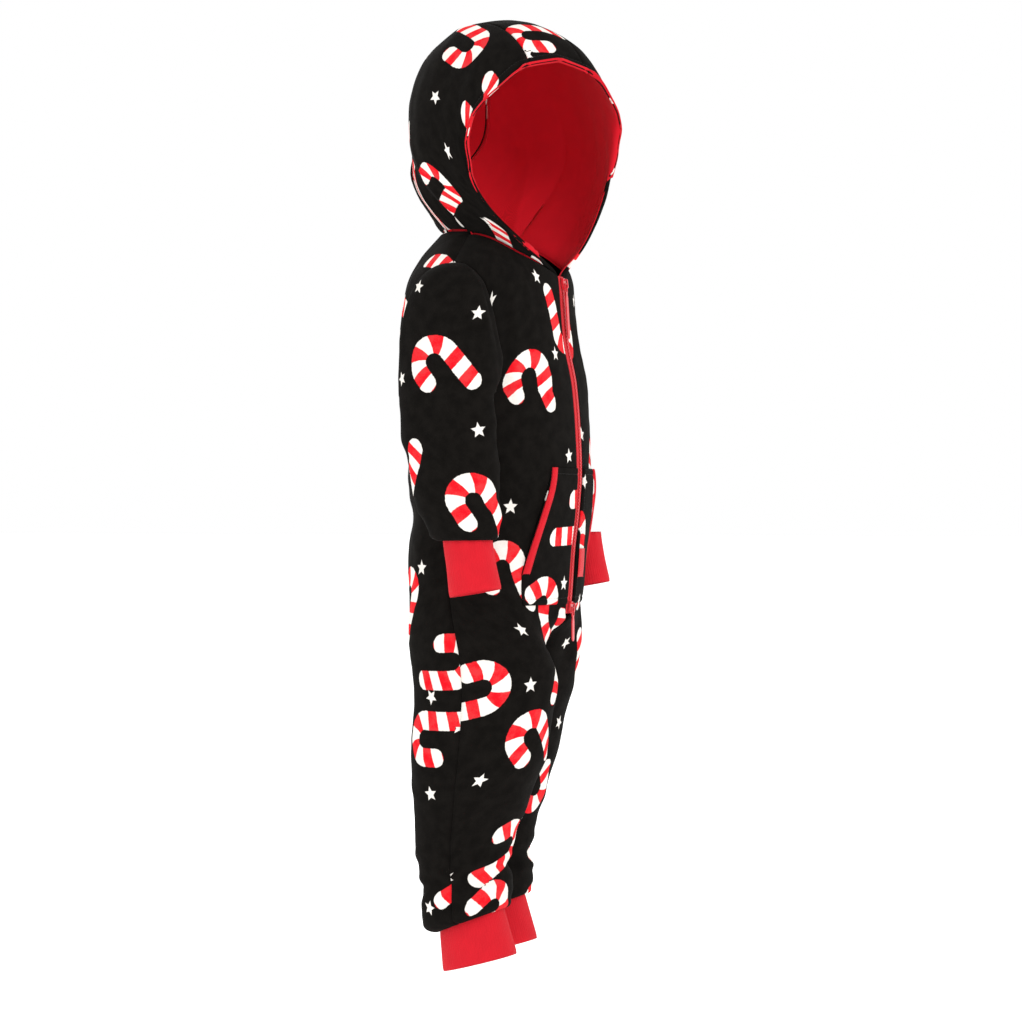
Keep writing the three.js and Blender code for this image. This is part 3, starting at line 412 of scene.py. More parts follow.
def cap_point(side, around, down):
    edge_x = read(armhole, "x", down, "down") + seam_gap
    edge_z = read(armhole, "z", down, "down")
    crest, crest_z, depth, middle, wrap = (
        read(cap, name, down, "down") for name in ("crest", "crest_z", "depth", "y", "wrap")
    )
    middle = middle + set_back_of(side, cap, down, "down")
    wrap = np.radians(wrap)
    turn = mix(wrap, 2 * math.pi - wrap, around)
    half = (crest - edge_x) / (1 + np.cos(wrap))
    out = crest - half - half * np.cos(turn)
    reach = (out - edge_x) / (crest - edge_x)
    arch = 1 - np.sqrt(np.maximum(0, 1 - reach * reach))
    y = middle - depth * np.sin(turn)
    front = around < 0.5
    edge = np.where(
        front,
        torso_point(side, -1, edge_x - seam_gap, edge_z)[:, 1],
        torso_point(side, 1, edge_x - seam_gap, edge_z)[:, 1],
    )
    end_y = middle - depth * np.sin(np.where(front, wrap, 2 * math.pi - wrap))
    from_end = np.where(front, around, 1 - around)
    y += (edge - end_y) * np.clip(1 - from_end / 0.36, 0, 1) ** 2
    return points(side * out, y, mix(edge_z, crest_z, mix(reach, arch, 0.5)))


def torso_x(y, z):
    depth = np.where(y < side_seam_y, read(torso, "front", z), read(torso, "back", z)) - side_seam_y
    share = np.clip(np.abs((y - side_seam_y) / depth), 0, 1)
    return read(torso, "half", z) * (1 - share**roundness) ** (1 / roundness)


def tube_point(side, around, z):
    blend = ease(underarm_height, underarm_height - 25, z)
    wrap = mix(math.radians(3), sleeve_gap_turn, blend)
    turn = mix(wrap, 2 * math.pi - wrap, around)
    out = read(sleeve, "x", z) - read(sleeve, "half", z) * np.cos(turn)
    lean = read(sleeve, "lean", z) * (0.5 - np.cos(turn) / 2)
    middle, depth = read(sleeve, "y", z) + set_back_of(side, sleeve, z), read(sleeve, "depth", z)
    front = around < 0.5
    from_end = np.where(front, around, 1 - around)
    hold = np.clip(1 - from_end / 0.36, 0, 1) ** 2 * (1 - ease(underarm_height, -215, z))
    end = middle - depth * np.sin(np.where(front, wrap, -wrap))
    y = middle - depth * np.sin(turn) + (side_seam_y - end) * hold
    return points(side * np.maximum(out, torso_x(y, z) + 2.2), y, z - lean)


def sleeve_roll_point(side, around, share):
    turn = mix(sleeve_gap_turn, 2 * math.pi - sleeve_gap_turn, around)
    start = tube_point(side, around, sleeve_hem_top + 0 * around)
    meet_z = sleeve_hem_top - sleeve_hem_drop + 2
    set_back = float(set_back_of(side, wrist, meet_z))
    cuff = cuff_point(wrist, side, turn, meet_z, set_back)
    middle = np.array([side * read(wrist, "x", meet_z), read(wrist, "y", meet_z) + set_back, 0])
    return roll_under(start, cuff, middle, sleeve_hem_drop, share)


def sleeve_point(side, around, down):
    return in_stretches(
        around,
        down,
        lambda a, v: cap_point(side, a, v),
        lambda a, v: tube_point(side, a, mix(underarm_height, sleeve_hem_top, v)),
        lambda a, v: sleeve_roll_point(side, a, v),
    )


def loose_hood_point(side, turn, down, foot):
    """A hoop of the hood, turned with the head above the neck."""
    crown_z, crown_ahead, half = (read(hoops, name, turn, "turn") for name in ("z", "ahead", "half"))
    bow = opening_bow * (1 - ease(opening_turn, 75, turn))
    end_turn = np.radians(mix(142, 128, ease(40, 125, turn)))
    bend = down * end_turn
    drop = (1 - np.cos(bend)) / (1 - np.cos(end_turn))
    foot_ahead = hood_centre[1] - foot[:, 1]
    start = np.clip((turn - opening_turn) / hood_front_span, None, 1)
    share = 1 - (1 - start) ** 2
    open_down = np.clip(down, 0, 1)
    hoop_ahead = mix(crown_ahead, foot_ahead, drop**1.3) - bow * np.sin(math.pi * drop)
    across = mix(read(face_opening, "half", open_down, "down"), half * np.sin(bend) ** hoop_roundness, share)
    ahead = mix(read(face_opening, "ahead", open_down, "down"), hoop_ahead, share)
    z = mix(read(face_opening, "z", open_down, "down"), mix(crown_z, foot[:, 2], drop), share)
    rise = np.clip((z - foot[:, 2]) / hood_twist_height, 0, 1)
    yaw = hood_yaw * np.sin(rise * math.pi / 2) ** 1.2 * (1 - ease(116, nape_turn, turn))
    return points(
        hood_centre[0] + np.sin(yaw) * ahead + np.cos(yaw) * across * side,
        hood_centre[1] - np.cos(yaw) * ahead + np.sin(yaw) * across * side,
        z,
    )


def hood_point(side, turn, down):
    foot = neck_point(side, turn)
    place = loose_hood_point(side, turn, down, foot)
    end = loose_hood_point(side, turn, 1 + 0 * turn, foot)
    place -= (end - foot) * ease(0.55, 1, down)[:, None]
    nape = neck_point(side, mix(180, turn, np.clip(down, 0, 1)))
    place = mix(place, nape, ease(124, nape_turn, turn)[:, None])
    place[:, 2] += hood_seam_gap * np.maximum(ease(0.92, 1, down), ease(136, nape_turn, turn))
    return place


def strip_edge(turn):
    """Share of the way down a hoop where the crown strip meets the side piece."""
    low, high = np.zeros_like(turn), np.full_like(turn, 0.95)
    for _ in range(24):
        middle = (low + high) / 2
        apart = np.linalg.norm(hood_point(1, turn, middle) - hood_point(-1, turn, middle), axis=1)
        inside = apart / 2 < strip_half_width
        low, high = np.where(inside, middle, low), np.where(inside, high, middle)
    return (low + high) / 2


strip_turns = np.linspace(opening_turn - 3, nape_turn, 400)
strip_edges = strip_edge(strip_turns)


def hood_side_point(side, turn, down, aside=0.0012):
    edge = np.interp(turn, strip_turns, strip_edges) + aside
    return hood_point(side, turn, mix(edge, 1, down))


def hood_strip_point(turn, across, aside=-0.0012):
    edge = np.interp(turn, strip_turns, strip_edges) + aside
    down = np.maximum(np.abs(across), 1e-5) * edge
    right = (across < 0)[:, None]
    return np.where(right, hood_point(-1, turn, down), hood_point(1, turn, down))


def front_by_x(side, x, z):
    """The lower front surface read by its place across."""
    low, high = np.zeros_like(x), np.full_like(x, 0.95)
    for _ in range(26):
        middle = (low + high) / 2
        inside = np.abs(lower_point(side, -1, middle, z)[:, 0]) < x
        low, high = np.where(inside, middle, low), np.where(inside, high, middle)
    found = lower_point(side, -1, (low + high) / 2, z)
    found[:, 0] = side * x
    return found


def front_surface(side, x, z):
    upper = torso_point(side, -1, x, z)
    if (z <= underarm_height).any():
        lower = front_by_x(side, x, np.minimum(z, underarm_height))
        return np.where((z > underarm_height)[:, None], upper, lower)
    return upper


def on_front(side, x, z, away):
    """Point laid on the front panel, with the panel's creases under it."""
    x, z = np.broadcast_arrays(np.asarray(x, float), np.asarray(z, float))
    place = front_surface(side, x, z)
    along_x = front_surface(side, x + 0.5, z) - front_surface(side, x - 0.5, z)
    along_z = front_surface(side, x, z + 0.5) - front_surface(side, x, z - 0.5)
    normal = np.cross(along_x, along_z)
    normal /= np.linalg.norm(normal, axis=1, keepdims=True)
    normal *= -np.sign(normal[:, 1:2])
    return place + normal * away


# Smaller creases that the cloth gets here: side 0 is both sides, angles run from the front,
# height is how far they stand out, and troughs are below zero
body_creases = cut_table(
    "side angle z length width slant height",
    # chest and armholes
    (-1, 62, -70, 34, 9, 14, 1.8), (-1, 70, -100, 30, 8, 6, -1.6), (-1, 50, -150, 44, 10, 28, 1.5),
    (-1, 78, -165, 26, 8, 48, 1.8), (-1, 40, -60, 30, 9, 20, 1.1), (1, 64, -78, 32, 9, -12, 1.7),
    (1, 72, -112, 28, 8, -8, -1.5), (1, 48, -158, 42, 11, -26, 1.4), (-1, 20, -90, 36, 10, 12, 1.1),
    (1, 18, -104, 34, 10, -10, 1.0), (-1, 30, -200, 40, 9, 32, 1.3), (1, 32, -206, 38, 10, -34, 1.2),
    # back
    (0, 124, -80, 40, 12, -14, 1.5), (-1, 158, -110, 44, 13, 10, 1.4), (1, 150, -120, 40, 12, -16, 1.5),
    (-1, 112, -140, 36, 9, -42, 1.8), (1, 108, -148, 34, 9, 44, 1.7), (-1, 140, -180, 34, 9, 74, 1.8),
    (1, 146, -188, 32, 9, -70, 1.7), (-1, 130, -228, 30, 8, 78, -1.6), (1, 134, -232, 30, 9, -76, -1.5),
    (-1, 152, -275, 36, 10, 80, 1.7), (1, 155, -280, 34, 10, -82, 1.6), (-1, 118, -330, 32, 9, 60, 1.5),
    (1, 120, -338, 30, 9, -58, 1.5), (0, 164, -372, 30, 9, 62, 1.6), (0, 150, -398, 34, 10, 40, -1.6),
    # hips and crotch
    (-1, 20, -420, 40, 9, 58, 1.9), (1, 22, -424, 40, 9, -60, 1.8), (-1, 32, -446, 44, 10, 44, -1.6),
    (1, 34, -450, 42, 10, -46, -1.6), (-1, 14, -458, 36, 8, 66, 1.6), (1, 14, -462, 34, 8, -64, 1.6),
    (0, 158, -440, 38, 10, 50, 1.7), (0, 168, -466, 34, 9, 62, -1.6), (-1, 84, -420, 40, 12, 8, 1.2),
    (1, 84, -428, 38, 12, -8, 1.2),
    # thigh to knee
    (-1, 60, -505, 48, 12, 22, 1.5), (1, 58, -512, 46, 12, -24, 1.5), (-1, 104, -540, 46, 11, -18, 1.4),
    (1, 106, -548, 46, 11, 20, 1.4), (-1, 36, -560, 32, 9, 68, 1.5), (1, 38, -566, 32, 9, -70, 1.5),
    (-1, 150, -570, 30, 9, 76, -1.7), (1, 150, -576, 30, 9, -74, -1.7), (-1, 128, -588, 28, 8, 60, 1.5),
    (1, 130, -594, 28, 8, -62, 1.5), (-1, 52, -612, 34, 9, 52, 1.4), (1, 54, -616, 34, 9, -54, 1.4),
    (-1, 96, -628, 32, 9, -58, 1.4), (1, 98, -634, 32, 9, 56, 1.4),
)
hem_creases = cut_table(
    "side angle z length width slant height",
    (-1, 40, -655, 34, 7, 76, 2.0), (-1, 74, -664, 30, 6, 96, -1.9), (-1, 58, -676, 34, 6, 84, 2.2),
    (-1, 24, -668, 24, 6, 70, -1.6), (-1, 96, -680, 26, 6, 104, 2.0), (-1, 30, -690, 30, 6, 82, 2.0),
    (-1, 66, -696, 26, 5, 98, -2.0), (-1, 110, -700, 30, 6, 82, 1.9), (-1, 130, -672, 34, 7, 98, 2.0),
    (-1, 150, -690, 30, 6, 84, -2.0), (-1, 160, -664, 26, 7, 76, 1.6), (-1, 84, -712, 30, 6, 86, 1.8),
    (-1, 46, -716, 24, 6, 70, -1.6), (-1, 140, -714, 28, 6, 100, 1.8), (-1, 18, -712, 24, 6, 78, 1.6),
    (1, 36, -658, 34, 7, -78, 2.0), (1, 70, -668, 30, 6, -98, -1.8), (1, 56, -680, 34, 6, -84, 2.1),
    (1, 22, -672, 24, 6, -72, -1.6), (1, 92, -684, 26, 6, -102, 2.0), (1, 28, -694, 30, 6, -84, 2.0),
    (1, 64, -700, 26, 5, -96, -1.9), (1, 106, -704, 30, 6, -84, 1.9), (1, 128, -676, 34, 7, -96, 2.0),
    (1, 148, -694, 30, 6, -86, -1.9), (1, 158, -668, 26, 7, -78, 1.6), (1, 82, -716, 30, 6, -88, 1.7),
    (1, 44, -720, 24, 6, -72, -1.6), (1, 138, -718, 28, 6, -98, 1.8), (1, 16, -716, 24, 6, -80, 1.6),
)
sleeve_creases = cut_table(
    "side angle z length width slant height",
    # drape below the shoulder seam
    (0, 78, -70, 40, 8, -8, 1.9), (0, 58, -96, 42, 8, -4, -1.7), (0, 98, -120, 44, 10, -12, 1.5),
    (0, 128, -72, 34, 11, 10, 1.2), (0, 276, -84, 40, 9, 10, 1.8), (0, 300, -110, 38, 8, 6, -1.6),
    (0, 40, -140, 34, 8, -22, 1.8), (0, 318, -150, 32, 8, 24, 1.7),
    # elbow
    (0, 96, -196, 30, 8, -64, 1.9), (0, 66, -212, 28, 7, -58, -1.7), (0, 108, -226, 32, 8, -76, 1.7),
    (0, 74, -240, 26, 7, -84, 1.5), (0, 256, -208, 34, 10, 62, 1.6), (0, 228, -232, 30, 9, 74, -1.5),
    (0, 180, -214, 36, 13, 86, 1.3), (0, 160, -178, 40, 14, 20, 1.2), (0, 210, -160, 38, 12, -16, 1.1),
    # lower sleeve and hem
    (0, 140, -262, 34, 10, -74, 1.5), (0, 214, -270, 32, 9, 80, 1.5), (0, 92, -274, 26, 7, -82, -1.6),
    (0, 116, -290, 28, 6, 88, 1.8), (0, 196, -292, 30, 6, 84, -1.5), (0, 262, -288, 28, 6, 96, 1.7),
    (0, 60, -296, 24, 6, 84, 1.6), (0, 160, -302, 30, 6, 92, 1.5), (0, 308, -280, 26, 7, 84, 1.5),
)
hood_creases = cut_table(
    "side angle z length width slant height",
    (-1, 34, 150, 52, 9, 10, 1.9), (-1, 52, 176, 44, 9, 22, -1.7), (-1, 70, 160, 50, 11, 8, 1.6),
    (-1, 96, 150, 48, 12, -14, 1.7), (-1, 84, 206, 30, 8, 48, 1.8), (-1, 60, 214, 28, 8, 62, -1.6),
    (-1, 112, 190, 34, 9, -38, -1.8), (-1, 124, 150, 36, 10, -24, 1.6), (-1, 46, 90, 50, 14, 12, 1.2),
    (-1, 78, 78, 46, 15, -10, 1.1), (1, 36, 156, 50, 9, 12, 1.8), (1, 56, 180, 42, 9, 24, -1.6),
    (1, 74, 164, 48, 11, 10, 1.6), (1, 98, 154, 46, 12, -12, 1.6), (1, 86, 208, 30, 8, 50, 1.8),
    (1, 62, 216, 28, 8, 60, -1.6), (1, 114, 192, 34, 9, -36, -1.7), (1, 126, 152, 36, 10, -22, 1.6),
    (1, 48, 92, 48, 14, 10, 1.2), (1, 80, 80, 44, 15, -12, 1.1),
)


def nap_waves(place):
    """Slight unevenness of soft cloth, in millimetres."""
    x, y, z = place[..., 0], place[..., 1], place[..., 2]
    slow = np.sin(0.071 * x + 0.043 * z + 1.3) * np.sin(0.059 * y - 0.067 * z + 0.4)
    quick = np.sin(0.173 * x - 0.131 * z + 2.2) * np.sin(0.151 * y + 0.163 * z + 0.9)
    return 0.45 * slow + 0.22 * quick


def cloth_lines(*stretches):
    """Lines of a grid: each stretch is its end and how many lines lead to it."""
    lines = [stretches[0]]
    for end, count in stretches[1:]:
        lines = np.atleast_1d(lines)
        lines = np.concatenate([lines, np.linspace(lines[-1], end, count + 1)[1:]])
    return lines


def outward(place, turned):
    """Directions square to a grid of points."""
    along_u = np.gradient(place, axis=1)
    along_v = np.gradient(place, axis=0)
    normal = np.cross(along_u, along_v)
    size = np.linalg.norm(normal, axis=2, keepdims=True)
    normal = normal / np.maximum(size, 1e-9)
    return -normal if turned else normal


def cloth_lengths(place, anchor_row, anchor_column):
    """Lengths along the cloth across and down from a row and a column, in millimetres."""
    across = np.linalg.norm(np.diff(place, axis=1), axis=2).cumsum(axis=1)
    across = np.pad(across, ((0, 0), (1, 0)))
    across -= across[:, anchor_column : anchor_column + 1]
    down = np.linalg.norm(np.diff(place, axis=0), axis=2).cumsum(axis=0)
    down = np.pad(down, ((1, 0), (0, 0)))
    down -= down[anchor_row : anchor_row + 1]
    return across, down


def edge_distance(across, down, edges):
    """Distance from the nearest of the named edges of a piece."""
    far = np.full(across.shape, 1e3)
    if "left" in edges:
        far = np.minimum(far, np.abs(across - across[:, :1]))
    if "right" in edges:
        far = np.minimum(far, np.abs(across[:, -1:] - across))
    if "top" in edges:
        far = np.minimum(far, np.abs(down - down[:1]))
    if "bottom" in edges:
        far = np.minimum(far, np.abs(down[-1:] - down))
    return far


def rolled_edge(distance, reach, depth):
    """A seam edge dips smoothly into its seam."""
    share = np.clip(1 - distance / reach, 0, 1)
    return -depth * (1 - np.sqrt(1 - np.minimum(share, 0.999) ** 2))


cloth_grids = {}


def cloth_piece(
    name, surface, lines, finish, node=None, *, turned, thick, detail=None, inset=0, tuck=2.5,
    closed=False, anchor=(0.5, 0.5), seams="left right top bottom", seam_depth=1.1, print_rows=None,
    inside=None,
):
    """A cloth piece on its cut surface, with creases, seam edges turned in and a real thickness."""
    across_lines, down_lines = lines
    u, v = np.meshgrid(across_lines, down_lines)
    shape = u.shape
    place = surface(u.ravel(), v.ravel()).reshape(*shape, 3)
    normal = outward(place, turned)
    if closed:
        wrapped = np.concatenate([place[:, -3:-1], place, place[:, 1:3]], axis=1)
        normal = outward(wrapped, turned)[:, 2:-2]
    anchor_row = int(anchor[1] * (shape[0] - 1))
    anchor_column = int(anchor[0] * (shape[1] - 1))
    across, down = cloth_lengths(place, anchor_row, anchor_column)
    push = np.full(shape, -float(inset))
    if seams:
        push += rolled_edge(edge_distance(across, down, seams.split()), 4.0, seam_depth)
    if detail is not None:
        push += detail(u, v, place, across, down)
    place = place + normal * push[..., None]
    cloth_grids[name] = (place, normal, across, down)

    if tuck:
        pads = ((1, 1), (0, 0)) if closed else ((1, 1), (1, 1))
        inner = np.pad(place - normal * tuck, (*pads, (0, 0)), mode="edge")
        rows, columns = slice(1, -1), slice(None) if closed else slice(1, -1)
        inner[rows, columns] = place
        place = inner
        across = np.pad(across, pads, mode="edge")
        down = np.pad(down, pads, mode="edge")
    rows, columns = place.shape[:2]

    sheet = bmesh.new()
    bmesh.ops.create_grid(sheet, x_segments=columns - 1, y_segments=rows - 1, size=0.5)
    if turned:
        bmesh.ops.reverse_faces(sheet, faces=sheet.faces)
    mesh = bpy.data.meshes.new(name)
    sheet.to_mesh(mesh)
    sheet.free()

    flat = np.zeros(len(mesh.vertices) * 3)
    mesh.vertices.foreach_get("co", flat)
    flat = flat.reshape(-1, 3)
    i = np.rint((flat[:, 0] + 0.5) * (columns - 1)).astype(int)
    j = np.rint((flat[:, 1] + 0.5) * (rows - 1)).astype(int)
    mesh.vertices.foreach_set("co", (place[j, i] / 1000).ravel())

    corners = np.zeros(len(mesh.loops), int)
    mesh.loops.foreach_get("vertex_index", corners)
    lengths = np.stack([across[j, i], down[j, i]], axis=1)[corners]
    cloth_uv = mesh.uv_layers.new(name="cloth")
    cloth_uv.data.foreach_set("uv", (lengths / 1000).ravel())
    if print_rows is not None:
        print_uv = mesh.uv_layers.new(name="print")
        handed = 1 if turned else -1
        motifs = print_rows(name, place, across, down, handed)
        print_uv.data.foreach_set("uv", motif_corners(lengths, motifs, handed).ravel())
    if closed:
        ring = bmesh.new()
        ring.from_mesh(mesh)
        bmesh.ops.remove_doubles(ring, verts=ring.verts, dist=1e-6)
        ring.to_mesh(mesh)
        ring.free()
    mesh.polygons.foreach_set("use_smooth", np.ones(len(mesh.polygons), bool))
    mesh.materials.append(finish)
    mesh.materials.append(inside or finish)
    mesh.update()

    piece = bpy.data.objects.new(name, mesh)
    bpy.context.scene.collection.objects.link(piece)
    wall = piece.modifiers.new("cloth thickness", "SOLIDIFY")
    wall.thickness = thick / 1000
    wall.offset = -1
    wall.use_even_offset = False
    wall.material_offset = 1
    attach(piece, "garment")
    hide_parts(node or name)
    return piece


# Print: hooked sweets in red and white stripes, and small stars, in millimetres. A motif's own
# frame has its middle at zero; stars are kept apart by a step of ten in their first coordinate.
bend_radius = 20.5
half_band = 10.5
long_leg = 44
short_leg = 15
bend_height = 14
star_size = 8.8
star_step = 10
other_apart = 58


def in_motif(lengths, motif, handed):
    """Places on the flat cloth in a motif's own frame."""
    _, s, t, turn, flip = motif
    right = (lengths[:, 0] - s) * handed
    up = t - lengths[:, 1]
    turn = math.radians(turn)
    x = right * math.cos(turn) - up * math.sin(turn)
    y = right * math.sin(turn) + up * math.cos(turn)
    return x * flip, y


def motif_gap(kind, x, y):
    """How far places lie outside a motif's edge."""
    if kind == "star":
        return np.hypot(x, y) - star_size
    y = y - bend_height
    reach = np.where(x > 0, long_leg, short_leg)
    on_leg = np.hypot(np.abs(x) - bend_radius, np.maximum(-y - reach, 0))
    return np.where(y > 0, np.abs(np.hypot(x, y) - bend_radius), on_leg) - half_band


def motif_corners(lengths, motifs, handed):
    """Each face's corners in the frame of the motif that it is nearest to, in decimetres."""
    middle = lengths.reshape(-1, 4, 2).mean(axis=1)
    gaps = [motif_gap(motif[0], *in_motif(middle, motif, handed)) for motif in motifs]
    chosen = np.repeat(np.argmin(gaps, axis=0), 4)
    corners = np.zeros_like(lengths)
    for k, motif in enumerate(motifs):
        here = chosen == k
        x, y = in_motif(lengths[here], motif, handed)
        corners[here] = np.stack([x / 100 + star_step * (motif[0] == "star"), y / 100], axis=1)
    return corners


def scattered_motifs(name, across, down, kept=()):
    """An even scatter of sweets with stars between them over a piece's cloth."""
    chance = random.Random("print of " + name)
    low_s, high_s = across.min(), across.max()
    low_t, high_t = down.min(), down.max()
    motifs = list(kept)
    for kind, apart, tries in (("sweet", 114, 900), ("star", 88, 700)):
        for _ in range(tries):
            s = chance.uniform(low_s - 10, high_s + 10)
            t = chance.uniform(low_t - 10, high_t + 10)
            near_same = any(math.hypot(s - m[1], t - m[2]) < apart for m in motifs if m[0] == kind)
            near_other = any(
                math.hypot(s - m[1], t - m[2]) < other_apart for m in motifs if m[0] != kind
            )
            if near_same or near_other:
                continue
            turn = chance.uniform(0, 360)
            motifs.append((kind, s, t, turn, chance.choice((-1, 1))))
    return motifs


# Motifs that the near side shows, by place in the view from the right and a little ahead:
# piece, kind, millimetres to the right, height, turn clockwise from upright, flip
shown_motifs = (
    ("sleeve_right", "sweet", -61, -138, -38, 1),
    ("sleeve_right", "sweet", -100, -233, 211, -1),
    ("sleeve_right", "sweet", -18, -290, -22, 1),
    ("sleeve_right", "star", -88, -42, 0, 1),
    ("sleeve_right", "star", -22, -74, 8, 1),
    ("sleeve_right", "star", -23, -200, -6, 1),
    ("front_right", "sweet", 34, -150, -27, 1),
    ("front_right", "sweet", 6, -362, -12, 1),
    ("front_right", "sweet", 60, -398, -160, 1),
    ("front_right", "sweet", -30, -482, 80, 1),
    ("front_right", "sweet", 40, -545, -40, 1),
    ("front_right", "sweet", 68, -500, 20, 1),
    ("front_right", "sweet", 78, -66, 165, 1),
    ("front_right", "star", 41, -27, 10, 1),
    ("front_right", "star", 62, -112, 0, 1),
    ("front_right", "star", 77, -226, -8, 1),
    ("front_right", "star", 25, -416, 6, 1),
    ("front_right", "star", 35, -478, 0, 1),
    ("front_right", "star", -22, -582, 12, 1),
    ("front_right", "star", 41, -638, -10, 1),
    ("front_right", "star", -10, -63, 20, 1),
    ("front_right", "sweet", 0, -660, 74, 1),
    ("front_right", "sweet", -24, -735, 60, 1),
    ("pocket_right", "sweet", 80, -294, 88, 1),
    ("pocket_right", "star", 28, -264, 5, 1),
    ("back_right", "sweet", -106, -392, 12, 1),
    ("back_right", "sweet", -66, -452, 88, 1),
    ("back_right", "sweet", -72, -537, -90, 1),
    ("back_right", "sweet", -50, -730, 58, 1),
    ("back_right", "sweet", -40, -10, 60, 1),
    ("back_right", "star", -85, -350, 0, 1),
    ("back_right", "star", -74, -490, 40, 1),
    ("back_right", "star", -26, -524, 8, 1),
    ("back_right", "star", -76, -598, -6, 1),
    ("back_right", "star", -77, -726, 14, 1),
    ("hood_right", "sweet", -71, 72, -32, 1),
    ("hood_right", "sweet", -24, 162, -16, 1),
    ("hood_right", "sweet", -42, 238, 8, -1),
    ("hood_right", "star", -73, 172, 0, 1),
    ("hood_right", "star", -58, 110, 12, 1),
    ("hood_right", "star", -14, 32, -10, 1),
    ("hood_right", "sweet", 24, 2, 118, 1),
    ("hood_centre", "sweet", 46, 244, 96, 1),
    ("hood_centre", "star", 3, 215, 0, 1),
    ("hood_centre", "star", 22, 212, 30, 1),
)
view_right = np.array([0.342, -0.94, 0])
view_ahead = np.array([0.94, 0.342, 0])


def print_motifs(name, place, across, down, handed):
    """The motifs of a piece: those the near side shows, and a scatter over the rest."""
    normal = outward(place, handed > 0)
    facing = (normal @ view_ahead) < 0.05
    right = place @ view_right
    kept = []
    for piece, kind, at_right, height, turn, flip in shown_motifs:
        if piece != name:
            continue
        miss = np.hypot(right - at_right, place[..., 2] - height) + np.where(facing, 0, 500)
        best = np.unravel_index(miss.argmin(), miss.shape)
        kept.append((kind, across[best], down[best], turn, flip))
    return scattered_motifs(name, across, down, kept)


class Wiring:
    """Short words for building the nodes of a material or a group."""

    def __init__(self, tree):
        self.tree = tree

    def node(self, kind, **inputs):
        node = self.tree.nodes.new(kind)
        for name, value in inputs.items():
            self.feed(node.inputs[name.replace("_", " ")], value)
        return node

    def feed(self, socket, value):
        if isinstance(value, bpy.types.NodeSocket):
            self.tree.links.new(value, socket)
        else:
            socket.default_value = value

    def math(self, operation, first, second=None, third=None):
        node = self.tree.nodes.new("ShaderNodeMath")
        node.operation = operation
        for socket, value in zip(node.inputs, (first, second, third)):
            if value is not None:
                self.feed(socket, value)
        return node.outputs[0]

    def choose(self, which, low, high):
        """low where which is 0, high where it is 1."""
        node = self.tree.nodes.new("ShaderNodeMix")
        node.data_type = "FLOAT"
        for socket, value in zip((node.inputs[0], node.inputs[2], node.inputs[3]), (which, low, high)):
            self.feed(socket, value)
        return node.outputs[0]

    def colour(self, which, low, high, blend="MIX"):
        node = self.tree.nodes.new("ShaderNodeMix")
        node.data_type = "RGBA"
        node.blend_type = blend
        self.feed(node.inputs[0], which)
        self.feed(node.inputs[6], low)
        self.feed(node.inputs[7], high)
        return node.outputs[2]

    def between(self, value, low, high, to_low=0.0, to_high=1.0):
        node = self.tree.nodes.new("ShaderNodeMapRange")
        node.interpolation_type = "SMOOTHSTEP"
        for socket, number in zip(node.inputs, (value, low, high, to_low, to_high)):
            self.feed(socket, number)
        return node.outputs[0]

    def noise(self, place, scale, detail=2.0, roughness=0.5):
        node = self.tree.nodes.new("ShaderNodeTexNoise")
        self.feed(node.inputs["Vector"], place)
        node.inputs["Scale"].default_value = scale
        node.inputs["Detail"].default_value = detail
        node.inputs["Roughness"].default_value = roughness
        return node.outputs[0]


def node_group(name, inputs, outputs):
    """A shader group with named inputs and outputs; returns its wiring and both ends."""
    tree = bpy.data.node_groups.new(name, "ShaderNodeTree")
    for words, kind, value in inputs:
        socket = tree.interface.new_socket(words, in_out="INPUT", socket_type=kind)
        if value is not None:
            socket.default_value = value
    for words, kind in outputs:
        tree.interface.new_socket(words, in_out="OUTPUT", socket_type=kind)
    wiring = Wiring(tree)
    return wiring, tree.nodes.new("NodeGroupInput").outputs, tree.nodes.new("NodeGroupOutput").inputs


